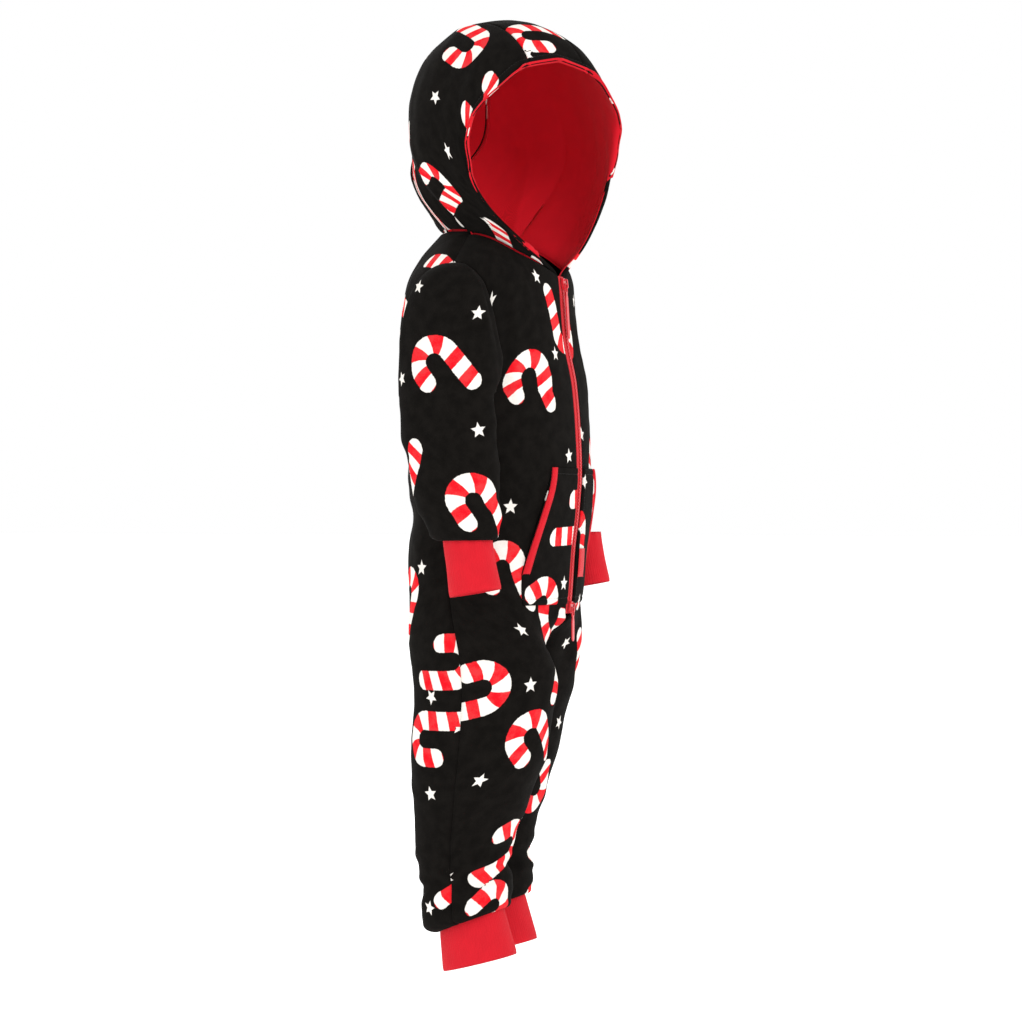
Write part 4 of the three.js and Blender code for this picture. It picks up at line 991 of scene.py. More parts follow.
def sweets_and_stars():
    """Masks of the printed motifs and of their red stripes, from the print's own frame."""
    w, given, made = node_group(
        "sweets and stars",
        [
            ("Print", "NodeSocketVector", None),
            ("Ragged", "NodeSocketFloat", 0.0),
            ("Bend radius", "NodeSocketFloat", bend_radius),
            ("Half width", "NodeSocketFloat", half_band),
            ("Long leg", "NodeSocketFloat", long_leg),
            ("Short leg", "NodeSocketFloat", short_leg),
            ("Stripe pitch", "NodeSocketFloat", 26.6),
            ("Star size", "NodeSocketFloat", star_size),
        ],
        [("Motif", "NodeSocketFloat"), ("Red", "NodeSocketFloat")],
    )
    parts = w.node("ShaderNodeSeparateXYZ", Vector=given["Print"])
    is_star = w.math("GREATER_THAN", parts.outputs[0], star_step / 2)
    x = w.math("MULTIPLY", w.math("SUBTRACT", parts.outputs[0], w.math("MULTIPLY", is_star, star_step)), 100)
    y_all = w.math("MULTIPLY", parts.outputs[1], 100)
    y = w.math("SUBTRACT", y_all, bend_height)
    radius = given["Bend radius"]

    round_gap = w.math("SQRT", w.math("ADD", w.math("MULTIPLY", x, x), w.math("MULTIPLY", y, y)))
    bend_offset = w.math("SUBTRACT", round_gap, radius)
    leg_offset = w.math("SUBTRACT", w.math("ABSOLUTE", x), radius)
    above = w.math("GREATER_THAN", y, 0)
    on_long = w.math("GREATER_THAN", x, 0)
    reach = w.choose(on_long, given["Short leg"], given["Long leg"])
    below = w.math("MAXIMUM", w.math("SUBTRACT", w.math("MULTIPLY", y, -1), reach), 0)
    leg_gap = w.math(
        "SQRT", w.math("ADD", w.math("MULTIPLY", leg_offset, leg_offset), w.math("MULTIPLY", below, below))
    )
    gap = w.choose(above, leg_gap, w.math("ABSOLUTE", bend_offset))
    inside = w.math("ADD", w.math("SUBTRACT", given["Half width"], gap), given["Ragged"])
    sweet = w.between(inside, -0.35, 0.45)

    around = w.math("MULTIPLY", w.math("ARCTAN2", y, x), w.math("MULTIPLY", radius, -1))
    half_turn = w.math("MULTIPLY", radius, math.pi)
    short_run = w.math("SUBTRACT", y, half_turn)
    leg_run = w.choose(on_long, short_run, w.math("MULTIPLY", y, -1))
    run = w.choose(above, leg_run, around)
    offset = w.choose(above, leg_offset, bend_offset)
    slanted = w.math("ADD", run, w.math("MULTIPLY", offset, 0.22))
    ragged_run = w.math("ADD", slanted, w.math("MULTIPLY", given["Ragged"], 0.8))
    stripes = w.math(
        "FRACT",
        w.math("DIVIDE", w.math("SUBTRACT", ragged_run, given["Long leg"]), given["Stripe pitch"]),
    )
    wave = w.math("ABSOLUTE", w.math("SUBTRACT", stripes, 0.75))
    near = w.math("MINIMUM", wave, w.math("SUBTRACT", 1, wave))
    red = w.between(near, 0.265, 0.235)

    angle = w.math("ADD", w.math("ARCTAN2", x, y_all), math.pi / 5)
    folded = w.math("SUBTRACT", w.math("FLOORED_MODULO", angle, 2 * math.pi / 5), math.pi / 5)
    length = w.math("SQRT", w.math("ADD", w.math("MULTIPLY", x, x), w.math("MULTIPLY", y_all, y_all)))
    along = w.math("MULTIPLY", length, w.math("COSINE", folded))
    aside = w.math("MULTIPLY", length, w.math("ABSOLUTE", w.math("SINE", folded)))
    notch = 0.46
    tip = math.hypot(notch * math.sin(math.pi / 5), 1 - notch * math.cos(math.pi / 5))
    slope_in = notch * math.sin(math.pi / 5) / tip
    slope_up = (1 - notch * math.cos(math.pi / 5)) / tip
    star_inside = w.math(
        "SUBTRACT",
        w.math("MULTIPLY", w.math("SUBTRACT", given["Star size"], along), slope_in),
        w.math("MULTIPLY", aside, slope_up),
    )
    star = w.between(w.math("ADD", star_inside, w.math("MULTIPLY", given["Ragged"], 0.6)), -0.3, 0.4)
    w.feed(made["Motif"], w.choose(is_star, sweet, star))
    w.feed(made["Red"], w.math("MULTIPLY", red, w.math("SUBTRACT", 1, is_star)))
    return w.tree


def fleece_nap():
    """Fine pile: its height, its shade and the ragged edge that it gives to a print."""
    w, given, made = node_group(
        "fleece nap",
        [
            ("Cloth", "NodeSocketVector", None),
            ("Tufts", "NodeSocketFloat", 900.0),
            ("Matting", "NodeSocketFloat", 70.0),
        ],
        [("Height", "NodeSocketFloat"), ("Shade", "NodeSocketFloat"), ("Ragged", "NodeSocketFloat")],
    )
    noise, cloth = "ShaderNodeTexNoise", given["Cloth"]
    coarse = w.math("MULTIPLY", given["Tufts"], 0.3)
    fine = w.node(noise, Vector=cloth, Scale=given["Tufts"], Detail=3.0, Roughness=0.62)
    tufts = w.node(noise, Vector=cloth, Scale=coarse, Detail=2.0)
    mats = w.node(noise, Vector=cloth, Scale=given["Matting"], Detail=3.0, Roughness=0.55)
    height = w.math(
        "ADD",
        w.math("MULTIPLY", fine.outputs[0], 0.5),
        w.math("ADD", w.math("MULTIPLY", tufts.outputs[0], 0.3), w.math("MULTIPLY", mats.outputs[0], 0.2)),
    )
    w.feed(made["Height"], height)
    shade = w.math(
        "ADD", w.math("MULTIPLY", mats.outputs[0], 0.6), w.math("MULTIPLY", fine.outputs[0], 0.4)
    )
    w.feed(made["Shade"], w.between(shade, 0.35, 0.65))
    w.feed(made["Ragged"], w.math("MULTIPLY", w.math("SUBTRACT", tufts.outputs[0], 0.5), 1.6))
    return w.tree


def thread_weave():
    """Crossing threads of a woven or knitted cloth from its flat lengths."""
    w, given, made = node_group(
        "threads",
        [
            ("Cloth", "NodeSocketVector", None),
            ("Across", "NodeSocketFloat", 900.0),
            ("Down", "NodeSocketFloat", 600.0),
        ],
        [("Height", "NodeSocketFloat"), ("Shade", "NodeSocketFloat")],
    )
    parts = w.node("ShaderNodeSeparateXYZ", Vector=given["Cloth"])
    turns = 2 * math.pi
    across = w.math("SINE", w.math("MULTIPLY", w.math("MULTIPLY", parts.outputs[0], given["Across"]), turns))
    down = w.math("SINE", w.math("MULTIPLY", w.math("MULTIPLY", parts.outputs[1], given["Down"]), turns))
    threads = w.math("MULTIPLY", across, down)
    fuzz = w.noise(given["Cloth"], 1400, 2.0)
    height = w.math("ADD", w.math("MULTIPLY", threads, 0.35), w.math("MULTIPLY", fuzz, 0.6))
    w.feed(made["Height"], height)
    w.feed(made["Shade"], w.between(height, -0.1, 0.7))
    return w.tree


print_group = sweets_and_stars()
nap_group = fleece_nap()
thread_group = thread_weave()


def cloth_material(name, roughness, sheen, sheen_tint, sheen_roughness=0.45, metallic=0.0, specular=0.25):
    made = bpy.data.materials.new(name)
    made.use_nodes = True
    wiring = Wiring(made.node_tree)
    shader = made.node_tree.nodes["Principled BSDF"]
    shader.inputs["Roughness"].default_value = roughness
    shader.inputs["Metallic"].default_value = metallic
    shader.inputs["Specular IOR Level"].default_value = specular
    shader.inputs["Sheen Weight"].default_value = sheen
    shader.inputs["Sheen Roughness"].default_value = sheen_roughness
    shader.inputs["Sheen Tint"].default_value = (*sheen_tint, 1)
    return made, wiring, shader


def grouped(wiring, tree, **inputs):
    node = wiring.tree.nodes.new("ShaderNodeGroup")
    node.node_tree = tree
    for name, value in inputs.items():
        wiring.feed(node.inputs[name.replace("_", " ")], value)
    return node.outputs


def raised(wiring, shader, height, strength, distance):
    bump = wiring.node("ShaderNodeBump", Strength=strength, Distance=distance, Height=height)
    wiring.feed(shader.inputs["Normal"], bump.outputs[0])


fleece_black = (0.0042, 0.0036, 0.0031, 1)
fleece_lit = (0.0078, 0.0067, 0.0058, 1)
print_red = (0.74, 0.006, 0.014, 1)
print_white = (0.86, 0.82, 0.76, 1)
lining_red = (0.70, 0.004, 0.016, 1)
rib_red = (0.70, 0.008, 0.02, 1)
tape_red = (0.74, 0.013, 0.024, 1)


def fleece_material(name, printed):
    made, w, shader = cloth_material(name, 0.97, 0.01, (0.8, 0.74, 0.68), specular=0.04)
    cloth = w.node("ShaderNodeUVMap")
    cloth.uv_map = "cloth"
    nap = grouped(w, nap_group, Cloth=cloth.outputs[0])
    colour = w.colour(nap["Shade"], fleece_black, fleece_lit)
    if printed:
        motif_map = w.node("ShaderNodeUVMap")
        motif_map.uv_map = "print"
        motif = grouped(w, print_group, Print=motif_map.outputs[0], Ragged=nap["Ragged"])
        dye = w.colour(motif["Red"], print_white, print_red)
        worn = w.colour(w.between(nap["Shade"], 0.0, 1.0, 0.16, 0.0), dye, (0.25, 0.2, 0.19, 1))
        colour = w.colour(motif["Motif"], colour, worn)
    w.feed(shader.inputs["Base Color"], colour)
    raised(w, shader, nap["Height"], 0.55, 0.0007)
    return made


def knit_material(name, base, dark, across, down, strength, roughness=0.9, sheen=0.06):
    made, w, shader = cloth_material(name, roughness, sheen, (1.0, 0.55, 0.55))
    cloth = w.node("ShaderNodeUVMap")
    cloth.uv_map = "cloth"
    threads = grouped(w, thread_group, Cloth=cloth.outputs[0], Across=across, Down=down)
    patchy = w.between(w.noise(cloth.outputs[0], 45, 2.0), 0.3, 0.7, 0.0, 0.35)
    colour = w.colour(threads["Shade"], dark, base)
    w.feed(shader.inputs["Base Color"], w.colour(patchy, colour, dark))
    raised(w, shader, threads["Height"], strength, 0.0004)
    return made


def darker(colour, share):
    return (*(value * share for value in colour[:3]), 1)


printed_fleece = fleece_material("printed fleece", True)
plain_fleece = fleece_material("fleece wrong side", False)
lining_jersey = knit_material("hood lining jersey", lining_red, darker(lining_red, 0.72), 1100, 900, 0.35)
rib_knit = knit_material("cuff rib knit", rib_red, darker(rib_red, 0.7), 1250, 1000, 0.5)
binding_cloth = knit_material("pocket binding jersey", rib_red, darker(rib_red, 0.7), 1100, 900, 0.4)
tape_cloth = knit_material("zip tape weave", tape_red, darker(tape_red, 0.62), 1000, 1000, 0.6, 0.75, 0.1)
label_cloth = knit_material("tab ribbon weave", tape_red, darker(tape_red, 0.7), 1600, 1600, 0.5, 0.6, 0.1)


def enamel_material(name, base, roughness):
    made, w, shader = cloth_material(name, roughness, 0.0, (1, 1, 1), specular=0.5)
    shader.inputs["Coat Weight"].default_value = 0.35
    shader.inputs["Coat Roughness"].default_value = 0.22
    place = w.node("ShaderNodeTexCoord").outputs["Object"]
    grain = w.noise(place, 420, 3.0)
    scuffs = w.between(w.noise(place, 160, 4.0, 0.7), 0.55, 0.72, 0.0, 0.35)
    w.feed(shader.inputs["Base Color"], w.colour(scuffs, base, darker(base, 0.6)))
    w.feed(shader.inputs["Roughness"], w.between(grain, 0.3, 0.7, roughness - 0.06, roughness + 0.1))
    raised(w, shader, grain, 0.15, 0.0003)
    return made


pull_enamel = enamel_material("slider enamel", (0.66, 0.011, 0.022, 1), 0.32)
tooth_plastic = enamel_material("zip tooth plastic", (0.6, 0.01, 0.02, 1), 0.42)


def thread_material(name, base):
    made, w, shader = cloth_material(name, 0.7, 0.15, (1, 1, 1))
    place = w.node("ShaderNodeTexCoord").outputs["Object"]
    twist = w.noise(place, 900, 1.0)
    w.feed(shader.inputs["Base Color"], w.colour(twist, darker(base, 0.65), base))
    raised(w, shader, twist, 0.3, 0.0002)
    return made


red_thread = thread_material("red sewing thread", (0.62, 0.012, 0.024, 1))
black_thread = thread_material("black sewing thread", (0.022, 0.02, 0.02, 1))


sides = ((-1, "right"), (1, "left"))

upper_lines = cloth_lines(0.0, (1.0, 62))
lower_lines = cloth_lines(1.0, (1.62, 104), (2.0, 106))[1:]
roll_lines = cloth_lines(2.0, (3.0, 12))[1:]
body_lines = np.concatenate([upper_lines, lower_lines, roll_lines])
zip_end = 1 + (zip_bottom - underarm_height) / (hem_roll_top - underarm_height)


def body_detail(side, face):
    """Creases of a body panel, calm where the pocket lies and beside the zip."""
    def detail(u, v, place, across, down):
        angle = u * 90 if face < 0 else 180 - u * 90
        z = place[..., 2]
        x = np.abs(place[..., 0])
        folds = fold_height(body_creases, side, angle, z)
        hem = fold_height(hem_creases, side, angle, z - hem_rise * 0.0, arm=70)
        seams = ease(0, 0.06, u) * ease(1, 0.94, u)
        calm = np.ones_like(z)
        if face < 0:
            pocket = ease(118, 104, x) * ease(-228, -240, z) * ease(-402, -392, z)
            calm = 1 - pocket * 0.85
        top = ease(26, -6, z)
        bottom = 1 - ease(2.0, 2.5, v)
        waves = nap_waves(place) * top
        return ((folds + waves) * calm * top + hem) * seams * bottom
    return detail


for side, word in sides:
    for face, panel in ((-1, "front"), (1, "back")):
        cloth_piece(
            f"{panel}_{word}",
            lambda u, v, side=side, face=face: body_point(side, face, u, v),
            (cloth_lines(0.0, (1.0, 60)), body_lines),
            printed_fleece,
            turned=side * face < 0,
            thick=fleece_wall,
            detail=body_detail(side, face),
            anchor=(0.5, 0.36),
            print_rows=print_motifs,
            inside=plain_fleece,
        )


def sleeve_detail(side):
    def detail(u, v, place, across, down):
        folds = fold_height(sleeve_creases, side, u * 360, place[..., 2], arm=45)
        seams = ease(0, 0.04, u) * ease(1, 0.96, u) * ease(0.0, 0.08, v)
        bottom = 1 - ease(2.1, 2.7, v)
        return (folds + 0.8 * nap_waves(place)) * seams * bottom
    return detail


sleeve_down = np.concatenate([
    cloth_lines(0.012, (1.0, 60)), cloth_lines(1.0, (2.0, 62))[1:], cloth_lines(2.0, (3.0, 9))[1:],
])
for side, word in sides:
    cloth_piece(
        f"sleeve_{word}",
        lambda u, v, side=side: sleeve_point(side, u, v),
        (cloth_lines(0.0, (1.0, 88)), sleeve_down),
        printed_fleece,
        turned=side > 0,
        thick=fleece_wall,
        detail=sleeve_detail(side),
        anchor=(0.5, 0.75),
        print_rows=print_motifs,
        inside=plain_fleece,
    )


# Rib cuffs: fine upright ribs, a folded lower edge and a little ease at the seam
def rib_detail(ribs, height):
    def detail(u, v, place, across, down):
        rib = np.abs(np.sin(math.pi * ribs * u)) ** 0.8 * height
        folded_edge = -0.7 * ease(0.9, 1.0, v) ** 2
        stretch = 0.5 * np.sin(2 * math.pi * u * 3 + 0.7) * ease(0.0, 0.3, v)
        gather = 0.5 * np.sin(2 * math.pi * u * 11 + 1.1) * ease(0.35, 0.0, v)
        return rib + folded_edge + stretch + gather
    return detail


for side, word in sides:
    set_back = float(read(leg, "set_back", -760)) if side > 0 else 0
    for cuff, rows, top, bottom, ribs, back in (
        ("wrist", wrist, wrist_top, wrist_bottom, 58, 0),
        ("ankle", ankle, ankle_top, ankle_bottom, 84, set_back),
    ):
        cloth_piece(
            f"{cuff}_cuff_{word}",
            lambda u, v, side=side, rows=rows, top=top, bottom=bottom, back=back: cuff_point(
                rows, side, u * 2 * math.pi, mix(top, bottom, v), back
            ),
            (cloth_lines(0.0, (1.0, ribs * 5)), cloth_lines(0.0, (1.0, 16))),
            rib_knit,
            turned=side > 0,
            thick=rib_wall - 0.4,
            detail=rib_detail(ribs, 0.32),
            inset=0.3,
            tuck=0,
            closed=True,
            seams="",
        )


# Hood: a soft hem at the face opening, with the jersey lining showing as a thin edge
def hood_detail(side):
    def detail(u, v, place, across, down):
        from_edge = np.abs(down - down[:1])
        swell = 0.9 * np.exp(-(((from_edge - 5.5) / 3.6) ** 2))
        hem = swell - 1.1 * np.exp(-(((from_edge - 11.5) / 1.6) ** 2))
        sides_ = side(u) if callable(side) else side
        reach = u * 185 + (0 if callable(side) else 12)
        folds = fold_height(hood_creases, sides_, v, 215 - reach, arm=100)
        calm = ease(opening_turn, opening_turn + 9, v) * ease(1.0, 0.9, u) * ease(0.0, 0.06, u)
        calm = calm * ease(nape_turn, nape_turn - 9, v)
        return hem + (folds + 0.8 * nap_waves(place)) * calm
    return detail


def strip_detail(u, v, place, across, down):
    from_edge = np.abs(down - down[:1])
    hem = 0.9 * np.exp(-(((from_edge - 5.5) / 3.6) ** 2)) - 1.1 * np.exp(-(((from_edge - 11.5) / 1.6) ** 2))
    calm = ease(opening_turn, opening_turn + 9, v) * ease(nape_turn, nape_turn - 9, v)
    calm = calm * ease(1.0, 0.86, np.abs(u))
    ripples = 0.9 * np.sin(np.radians(v) * 9 + 1.1) * np.sin(u * 2.1 + v * 0.05)
    return hem + (ripples + 0.8 * nap_waves(place)) * calm


lining_seam_shift = 0.012
lining_draw_in = 2.2
neck_middle = -8


def lining_point(side, u, v):
    """The lining reaches a little past the neck seam, so that no light shows through it."""
    place = hood_side_point(side, v, np.minimum(u, 1), lining_seam_shift + 0.0012)
    past = np.maximum(u - 1, 0)[..., None]
    inward = lining_draw_in * ease(0.86, 1, u)[..., None]
    from_neck = place * np.array([1, 1, 0]) - np.array([0, neck_middle, 0])
    from_neck = from_neck / np.maximum(np.linalg.norm(from_neck, axis=-1, keepdims=True), 1)
    return place + past * np.array([0, 0, -80]) - inward * from_neck


hood_turns = cloth_lines(opening_turn, (opening_turn + 9, 14), (100.0, 62), (nape_turn, 34))
for side, word in sides:
    cloth_piece(
        f"hood_{word}",
        lambda u, v, side=side: hood_side_point(side, v, u),
        (cloth_lines(0.0, (1.0, 66)), hood_turns),
        printed_fleece,
        turned=side < 0,
        thick=fleece_wall,
        detail=hood_detail(side),
        anchor=(0.5, 0.35),
        print_rows=print_motifs,
        inside=plain_fleece,
    )
    cloth_piece(
        f"hood_lining_{word}",
        lambda u, v, side=side: lining_point(side, u, v),
        (cloth_lines(0.0, (1.0, 50), (1.06, 3)), np.concatenate([[opening_turn - 1.7], hood_turns[1:]])),
        lining_jersey,
        turned=side < 0,
        thick=lining_wall,
        detail=lambda u, v, place, across, down: (
            0.5 * nap_waves(place) * ease(opening_turn, opening_turn + 9, v)
        ),
        inset=fleece_wall + lining_gap,
        tuck=1.0,
        seams="left right",
        seam_depth=0.3,
    )
cloth_piece(
    "hood_centre",
    lambda u, v: hood_strip_point(v, u),
    (cloth_lines(-1.0, (1.0, 40)), hood_turns),
    printed_fleece,
    turned=False,
    thick=fleece_wall,
    detail=strip_detail,
    anchor=(0.5, 0.35),
    print_rows=print_motifs,
    inside=plain_fleece,
)
cloth_piece(
    "hood_lining_centre",
    lambda u, v: hood_strip_point(v, u, lining_seam_shift - 0.0012),
    (cloth_lines(-1.0, (1.0, 30)), np.concatenate([[opening_turn - 1.7], hood_turns[1:]])),
    lining_jersey,
    turned=False,
    thick=lining_wall,
    inset=fleece_wall + lining_gap,
    tuck=1.0,
    seams="left right",
    seam_depth=0.3,
)


# Zip tapes, with the teeth between them
def zip_edge(side, u, v):
    edge = body_point(side, -1, 0 * u, v)
    edge[:, 0] = side * mix(seam_gap / 2, np.abs(edge[:, 0]) - seam_gap, u)
    return edge


zip_lines = body_lines[body_lines <= zip_end]
zip_lines = np.concatenate([zip_lines, [zip_end]])
for side, word in sides:
    cloth_piece(
        f"zip_tape_{word}",
        lambda u, v, side=side: zip_edge(side, u, v),
        (cloth_lines(0.0, (1.0, 8)), zip_lines),
        tape_cloth,
        turned=side > 0,
        thick=tape_wall - 0.2,
        inset=0.5,
        tuck=0.6,
        seams="right" if side > 0 else "right",
        seam_depth=0.2,
    )


# Pockets with a bound, slightly gaping opening
def pocket_edge(z):
    share = np.clip((z - pocket_top) / (pocket_slant_end - pocket_top), 0, 1)
    return mix(pocket_top_edge, pocket_side_edge, share)


def gape(u, v):
    """The slanted opening stands a little open at its middle."""
    open_share = np.clip(v * (pocket_bottom - pocket_top) / (pocket_slant_end - pocket_top), 0, 1)
    return 2.6 * np.sin(math.pi * open_share) * ease(0.45, 1.0, u)


pocket_start = zip_half_width + 1.5
slant_end_share = (pocket_slant_end - pocket_top) / (pocket_bottom - pocket_top)
for side, word in sides:
    cloth_piece(
        f"pocket_{word}",
        lambda u, v, side=side: on_front(
            side,
            mix(pocket_start, pocket_edge(mix(pocket_top, pocket_bottom, v)), u),
            mix(pocket_top, pocket_bottom, v),
            laid_on + pocket_wall,
        ),
        (cloth_lines(0.0, (1.0, 46)), cloth_lines(0.0, (1.0, 66))),
        printed_fleece,
        turned=side > 0,
        thick=pocket_wall,
        detail=lambda u, v, place, across, down: gape(u, v)
        + 0.6 * nap_waves(place) * ease(0, 0.1, u) * ease(1, 0.9, u)
        - 0.7 * np.exp(-((np.abs(down - down[-1:]) - 7) / 1.3) ** 2)
        - 0.6 * np.exp(-((np.abs(down - down[:1]) - 7) / 1.3) ** 2),
        anchor=(0.5, 0.5),
        tuck=2.0,
        print_rows=print_motifs,
        inside=plain_fleece,
    )
    cloth_piece(
        f"pocket_binding_{word}",
        lambda u, v, side=side: on_front(
            side,
            pocket_edge(mix(pocket_top, pocket_slant_end, v)) - binding_width * (1 - u),
            mix(pocket_top, pocket_slant_end, v),
            laid_on + pocket_wall + seam_gap + binding_wall,
        ),
        (cloth_lines(0.0, (1.0, 14)), cloth_lines(0.0, (1.0, 80))),
        binding_cloth,
        turned=side > 0,
        thick=binding_wall,
        detail=lambda u, v, place, across, down: gape(
            1.0 - binding_width * (1 - u) / 80, v * slant_end_share
        ) + 0.55 * np.sin(math.pi * u) - 0.6 * np.exp(-((u - 0.16) / 0.06) ** 2)
        - 0.6 * np.exp(-((u - 0.84) / 0.06) ** 2),
        tuck=1.6,
        seam_depth=0.6,
    )
cloth_piece(
    "label_tab",
    lambda u, v: on_front(
        1,
        label_start + label_width * u,
        label_top - label_drop * v,
        laid_on + pocket_wall + laid_on + label_wall,
    ),
    (cloth_lines(0.0, (1.0, 20)), cloth_lines(0.0, (1.0, 26))),
    label_cloth,
    turned=True,
    thick=label_wall - 0.1,
    detail=lambda u, v, place, across, down: 0.9 * np.sin(math.pi * v) * np.sin(math.pi * u * 0.9 + 0.2)
    - 0.35 * np.exp(-((u - 0.1) / 0.03) ** 2) - 0.35 * np.exp(-((u - 0.9) / 0.03) ** 2),
    tuck=0.4,
    seam_depth=0.3,
)


# Zip teeth, stitches: many small shapes along a path, joined in one piece
def on_path(path, step, start=0.0, end=None):
    """Places a step apart along a line of points, with their directions."""
    lengths = np.concatenate([[0], np.linalg.norm(np.diff(path, axis=0), axis=1).cumsum()])
    end = lengths[-1] if end is None else end
    stops = np.arange(start, end, step)
    place = np.stack([np.interp(stops, lengths, path[:, k]) for k in range(3)], axis=1)
    ahead = np.stack([np.interp(stops + 0.5, lengths, path[:, k]) for k in range(3)], axis=1) - place
    size = np.linalg.norm(ahead, axis=1, keepdims=True)
    return place, ahead / np.maximum(size, 1e-9)


def turned_to(place, along, out):
    """A frame in metres at a place in millimetres: X along, Z out."""
    along = Vector(along).normalized()
    out = Vector(out)
    out = (out - along * out.dot(along)).normalized()
    aside = out.cross(along)
    turn = Matrix((along, aside, out)).transposed().to_4x4()
    return Matrix.Translation(Vector(place) / 1000) @ turn


def joined_piece(name, shapes, finish, body="garment", smooth=True):
    shapes.to_mesh(mesh := bpy.data.meshes.new(name))
    shapes.free()
    mesh.polygons.foreach_set("use_smooth", np.full(len(mesh.polygons), smooth))
    mesh.materials.append(finish)
    piece = bpy.data.objects.new(name, mesh)
    bpy.context.scene.collection.objects.link(piece)
    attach(piece, body)
    return piece


def stitch_line(shapes, path, out, length=2.6, gap=0.9, thick=0.34, rise=0.12):
    """Adds one row of sewing to shapes, along a path on the cloth."""
    place, along = on_path(path, length + gap, start=1.5)
    stitch_shares, out_shares = np.linspace(0, 1, len(place)), np.linspace(0, 1, len(out))
    out_at = np.stack([np.interp(stitch_shares, out_shares, out[:, k]) for k in range(3)], axis=1)
    for centre, ahead, square in zip(place, along, out_at):
        frame_at = turned_to(centre + square * rise, ahead, square)
        stretch = Matrix.Diagonal((length / 2000, thick / 2000, thick / 2000, 1))
        bmesh.ops.create_uvsphere(
            shapes, u_segments=6, v_segments=4, radius=1,
            matrix=frame_at @ stretch @ Matrix.Rotation(math.pi / 2, 4, "Y"),
        )


def line_from_edge(name, edge, distance):
    """A line on a finished piece at a distance from one of its edges, with its directions."""
    place, normal, across, down = cloth_grids[name]
    gap = np.abs({
        "top": down - down[:1],
        "bottom": down[-1:] - down,
        "left": across - across[:, :1],
        "right": across[:, -1:] - across,
    }[edge])
    if edge in ("left", "right"):
        place, normal, gap = place.swapaxes(0, 1), normal.swapaxes(0, 1), gap.T
    if edge in ("bottom", "right"):
        place, normal, gap = place[::-1], normal[::-1], gap[::-1]
    line = []
    for column in range(gap.shape[1]):
        row = np.interp(distance, gap[:, column], np.arange(len(gap)))
        low = min(int(row), len(gap) - 2)
        line.append([mix(grid[low, column], grid[low + 1, column], row - low) for grid in (place, normal)])
    line = np.array(line)
    return line[:, 0], line[:, 1]


def sewn(name, thread, rows):
    shapes = bmesh.new()
    for piece, edge, distance, lowest in rows:
        path, out = line_from_edge(piece, edge, distance)
        kept = path[:, 2] > lowest
        stitch_line(shapes, path[kept], out[kept])
    return joined_piece(name, shapes, thread)


bottom_of_all = -900
hem_width = 10.5
sewn(
    "hood_hem_stitches",
    black_thread,
    [(f"hood_{word}", "top", hem_width, bottom_of_all) for word in ("right", "left", "centre")],
)
sewn(
    "zip_edge_stitches",
    black_thread,
    [(f"front_{word}", "left", 3.2, zip_bottom) for _, word in sides],
)
sewn(
    "pocket_stitches",
    black_thread,
    [
        (f"pocket_{word}", edge, distance, bottom_of_all)
        for _, word in sides
        for edge, distance in (("top", 7), ("bottom", 7), ("left", 4))
    ],
)
sewn(
    "binding_stitches",
    red_thread,
    [
        (f"pocket_binding_{word}", edge, 1.35, bottom_of_all)
        for _, word in sides
        for edge in ("left", "right")
    ],
)
sewn(
    "tab_stitches",
    red_thread,
    [("label_tab", edge, 2.4, bottom_of_all) for edge in ("left", "right")],
)

# Zip teeth, one half's between the other's
tooth_pitch = 1.9
tooth_size = (1.25, 2.9, 1.5)
tooth_aside = 1.15
tooth_bevel = 0.22
slider_heights = (-32, -395)
slider_cover = 6.9
zip_path = zip_edge(1, 0 * zip_lines, zip_lines)
teeth = bmesh.new()
for k, (centre, along) in enumerate(zip(*on_path(zip_path, tooth_pitch, start=2.0))):
    if any(abs(centre[2] - height) < slider_cover for height in slider_heights):
        continue
    out = np.cross(along, (1, 0, 0))
    aside = tooth_aside if k % 2 else -tooth_aside
    seat = np.array([aside, centre[1], centre[2]]) + out * 0.25
    size = Matrix.Diagonal((*(value / 1000 for value in tooth_size), 1))
    bmesh.ops.create_cube(teeth, size=1, matrix=turned_to(seat, along, out) @ size)
bmesh.ops.bevel(
    teeth, geom=list(teeth.edges), offset=tooth_bevel / 1000, offset_type="OFFSET", affect="EDGES",
    segments=1, profile=0.5, material=-1,
)
joined_piece("zip_teeth", teeth, tooth_plastic, smooth=False)


def bevelled_copy(name, body, width):
    """A zip fitting with its edges rounded off."""
    shape = bmesh.new()
    shape.from_mesh(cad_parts[name].data)
    bmesh.ops.remove_doubles(shape, verts=shape.verts, dist=1e-6)
    bmesh.ops.dissolve_limit(
        shape, angle_limit=math.radians(2), verts=shape.verts, edges=shape.edges
    )
    sharp = [edge for edge in shape.edges if edge.calc_face_angle(0) > math.radians(25)]
    bmesh.ops.bevel(
        shape, geom=sharp, offset=width / 1000, offset_type="OFFSET", affect="EDGES",
        segments=2, profile=0.5, material=-1, clamp_overlap=True,
    )
    piece = joined_piece(name, shape, pull_enamel, body=body, smooth=False)
    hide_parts(name)


for place_word in ("top", "bottom"):
    bevelled_copy(f"slider_{place_word}", "garment", 0.3)
    bevelled_copy(f"pull_{place_word}", f"pull_{place_word}", 0.28)

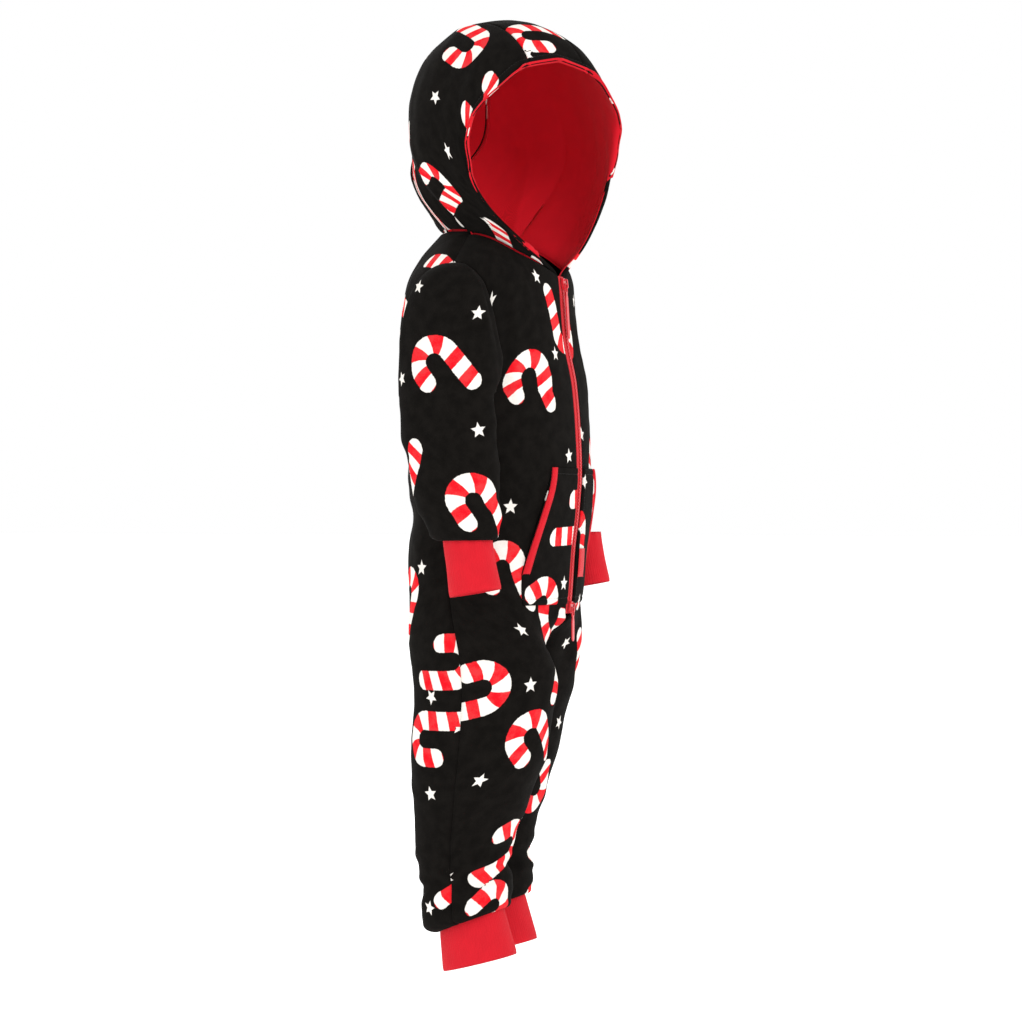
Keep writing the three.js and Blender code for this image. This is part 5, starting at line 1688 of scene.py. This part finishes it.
# Camera, floor and light
scene = bpy.context.scene
camera_away = 3.4
frame_span = 1.159
camera_data = bpy.data.cameras.new("camera")
camera_data.sensor_width = 36
camera_data.lens = 36 * camera_away / frame_span
camera = bpy.data.objects.new("camera", camera_data)
scene.collection.objects.link(camera)
ahead = Vector((0.94, 0.342, 0)).normalized()
to_right = Vector((0.342, -0.94, 0)).normalized()
camera.location = Vector((0, 0, -0.287)) + to_right * 0.0125 - ahead * camera_away
camera.rotation_euler = ahead.to_track_quat("-Z", "Y").to_euler()
scene.camera = camera

floor_mesh = bpy.data.meshes.new("floor")
floor_shape = bmesh.new()
floor_height = -0.842
floor_reach = 60
bmesh.ops.create_grid(
    floor_shape, x_segments=1, y_segments=1, size=floor_reach,
    matrix=Matrix.Translation((0, 0, floor_height)),
)
floor_shape.to_mesh(floor_mesh)
floor_shape.free()
floor = bpy.data.objects.new("floor", floor_mesh)
scene.collection.objects.link(floor)
floor_paint, _, floor_shader = cloth_material("pale floor", 0.7, 0.0, (1, 1, 1))
floor_shader.inputs["Base Color"].default_value = (0.93, 0.93, 0.93, 1)
floor_shader.inputs["Emission Color"].default_value = (1, 1, 1, 1)
floor_shader.inputs["Emission Strength"].default_value = 0.4
floor_mesh.materials.append(floor_paint)

world = bpy.data.worlds.new("studio")
world.use_nodes = True
world.node_tree.nodes["Background"].inputs["Color"].default_value = (1, 1, 1, 1)
world.node_tree.nodes["Background"].inputs["Strength"].default_value = 1.0
scene.world = world


def soft_light(name, place, size, watts):
    light = bpy.data.lights.new(name, "AREA")
    light.shape = "DISK"
    light.size = size
    light.energy = watts
    lamp = bpy.data.objects.new(name, light)
    lamp.location = place
    lamp.rotation_euler = (Vector((0, 0, -0.3)) - Vector(place)).to_track_quat("-Z", "Y").to_euler()
    scene.collection.objects.link(lamp)


soft_light("key", (-1.6, -2.6, 1.5), 1.2, 34)
soft_light("side", (-2.4, 1.9, 0.8), 1.4, 16)
soft_light("rim", (1.8, 1.6, 1.4), 1.0, 14)
scene.view_settings.view_transform = "Standard"


for _, word in sides:
    front, back, hood = f"front_{word}", f"back_{word}", f"hood_{word}"
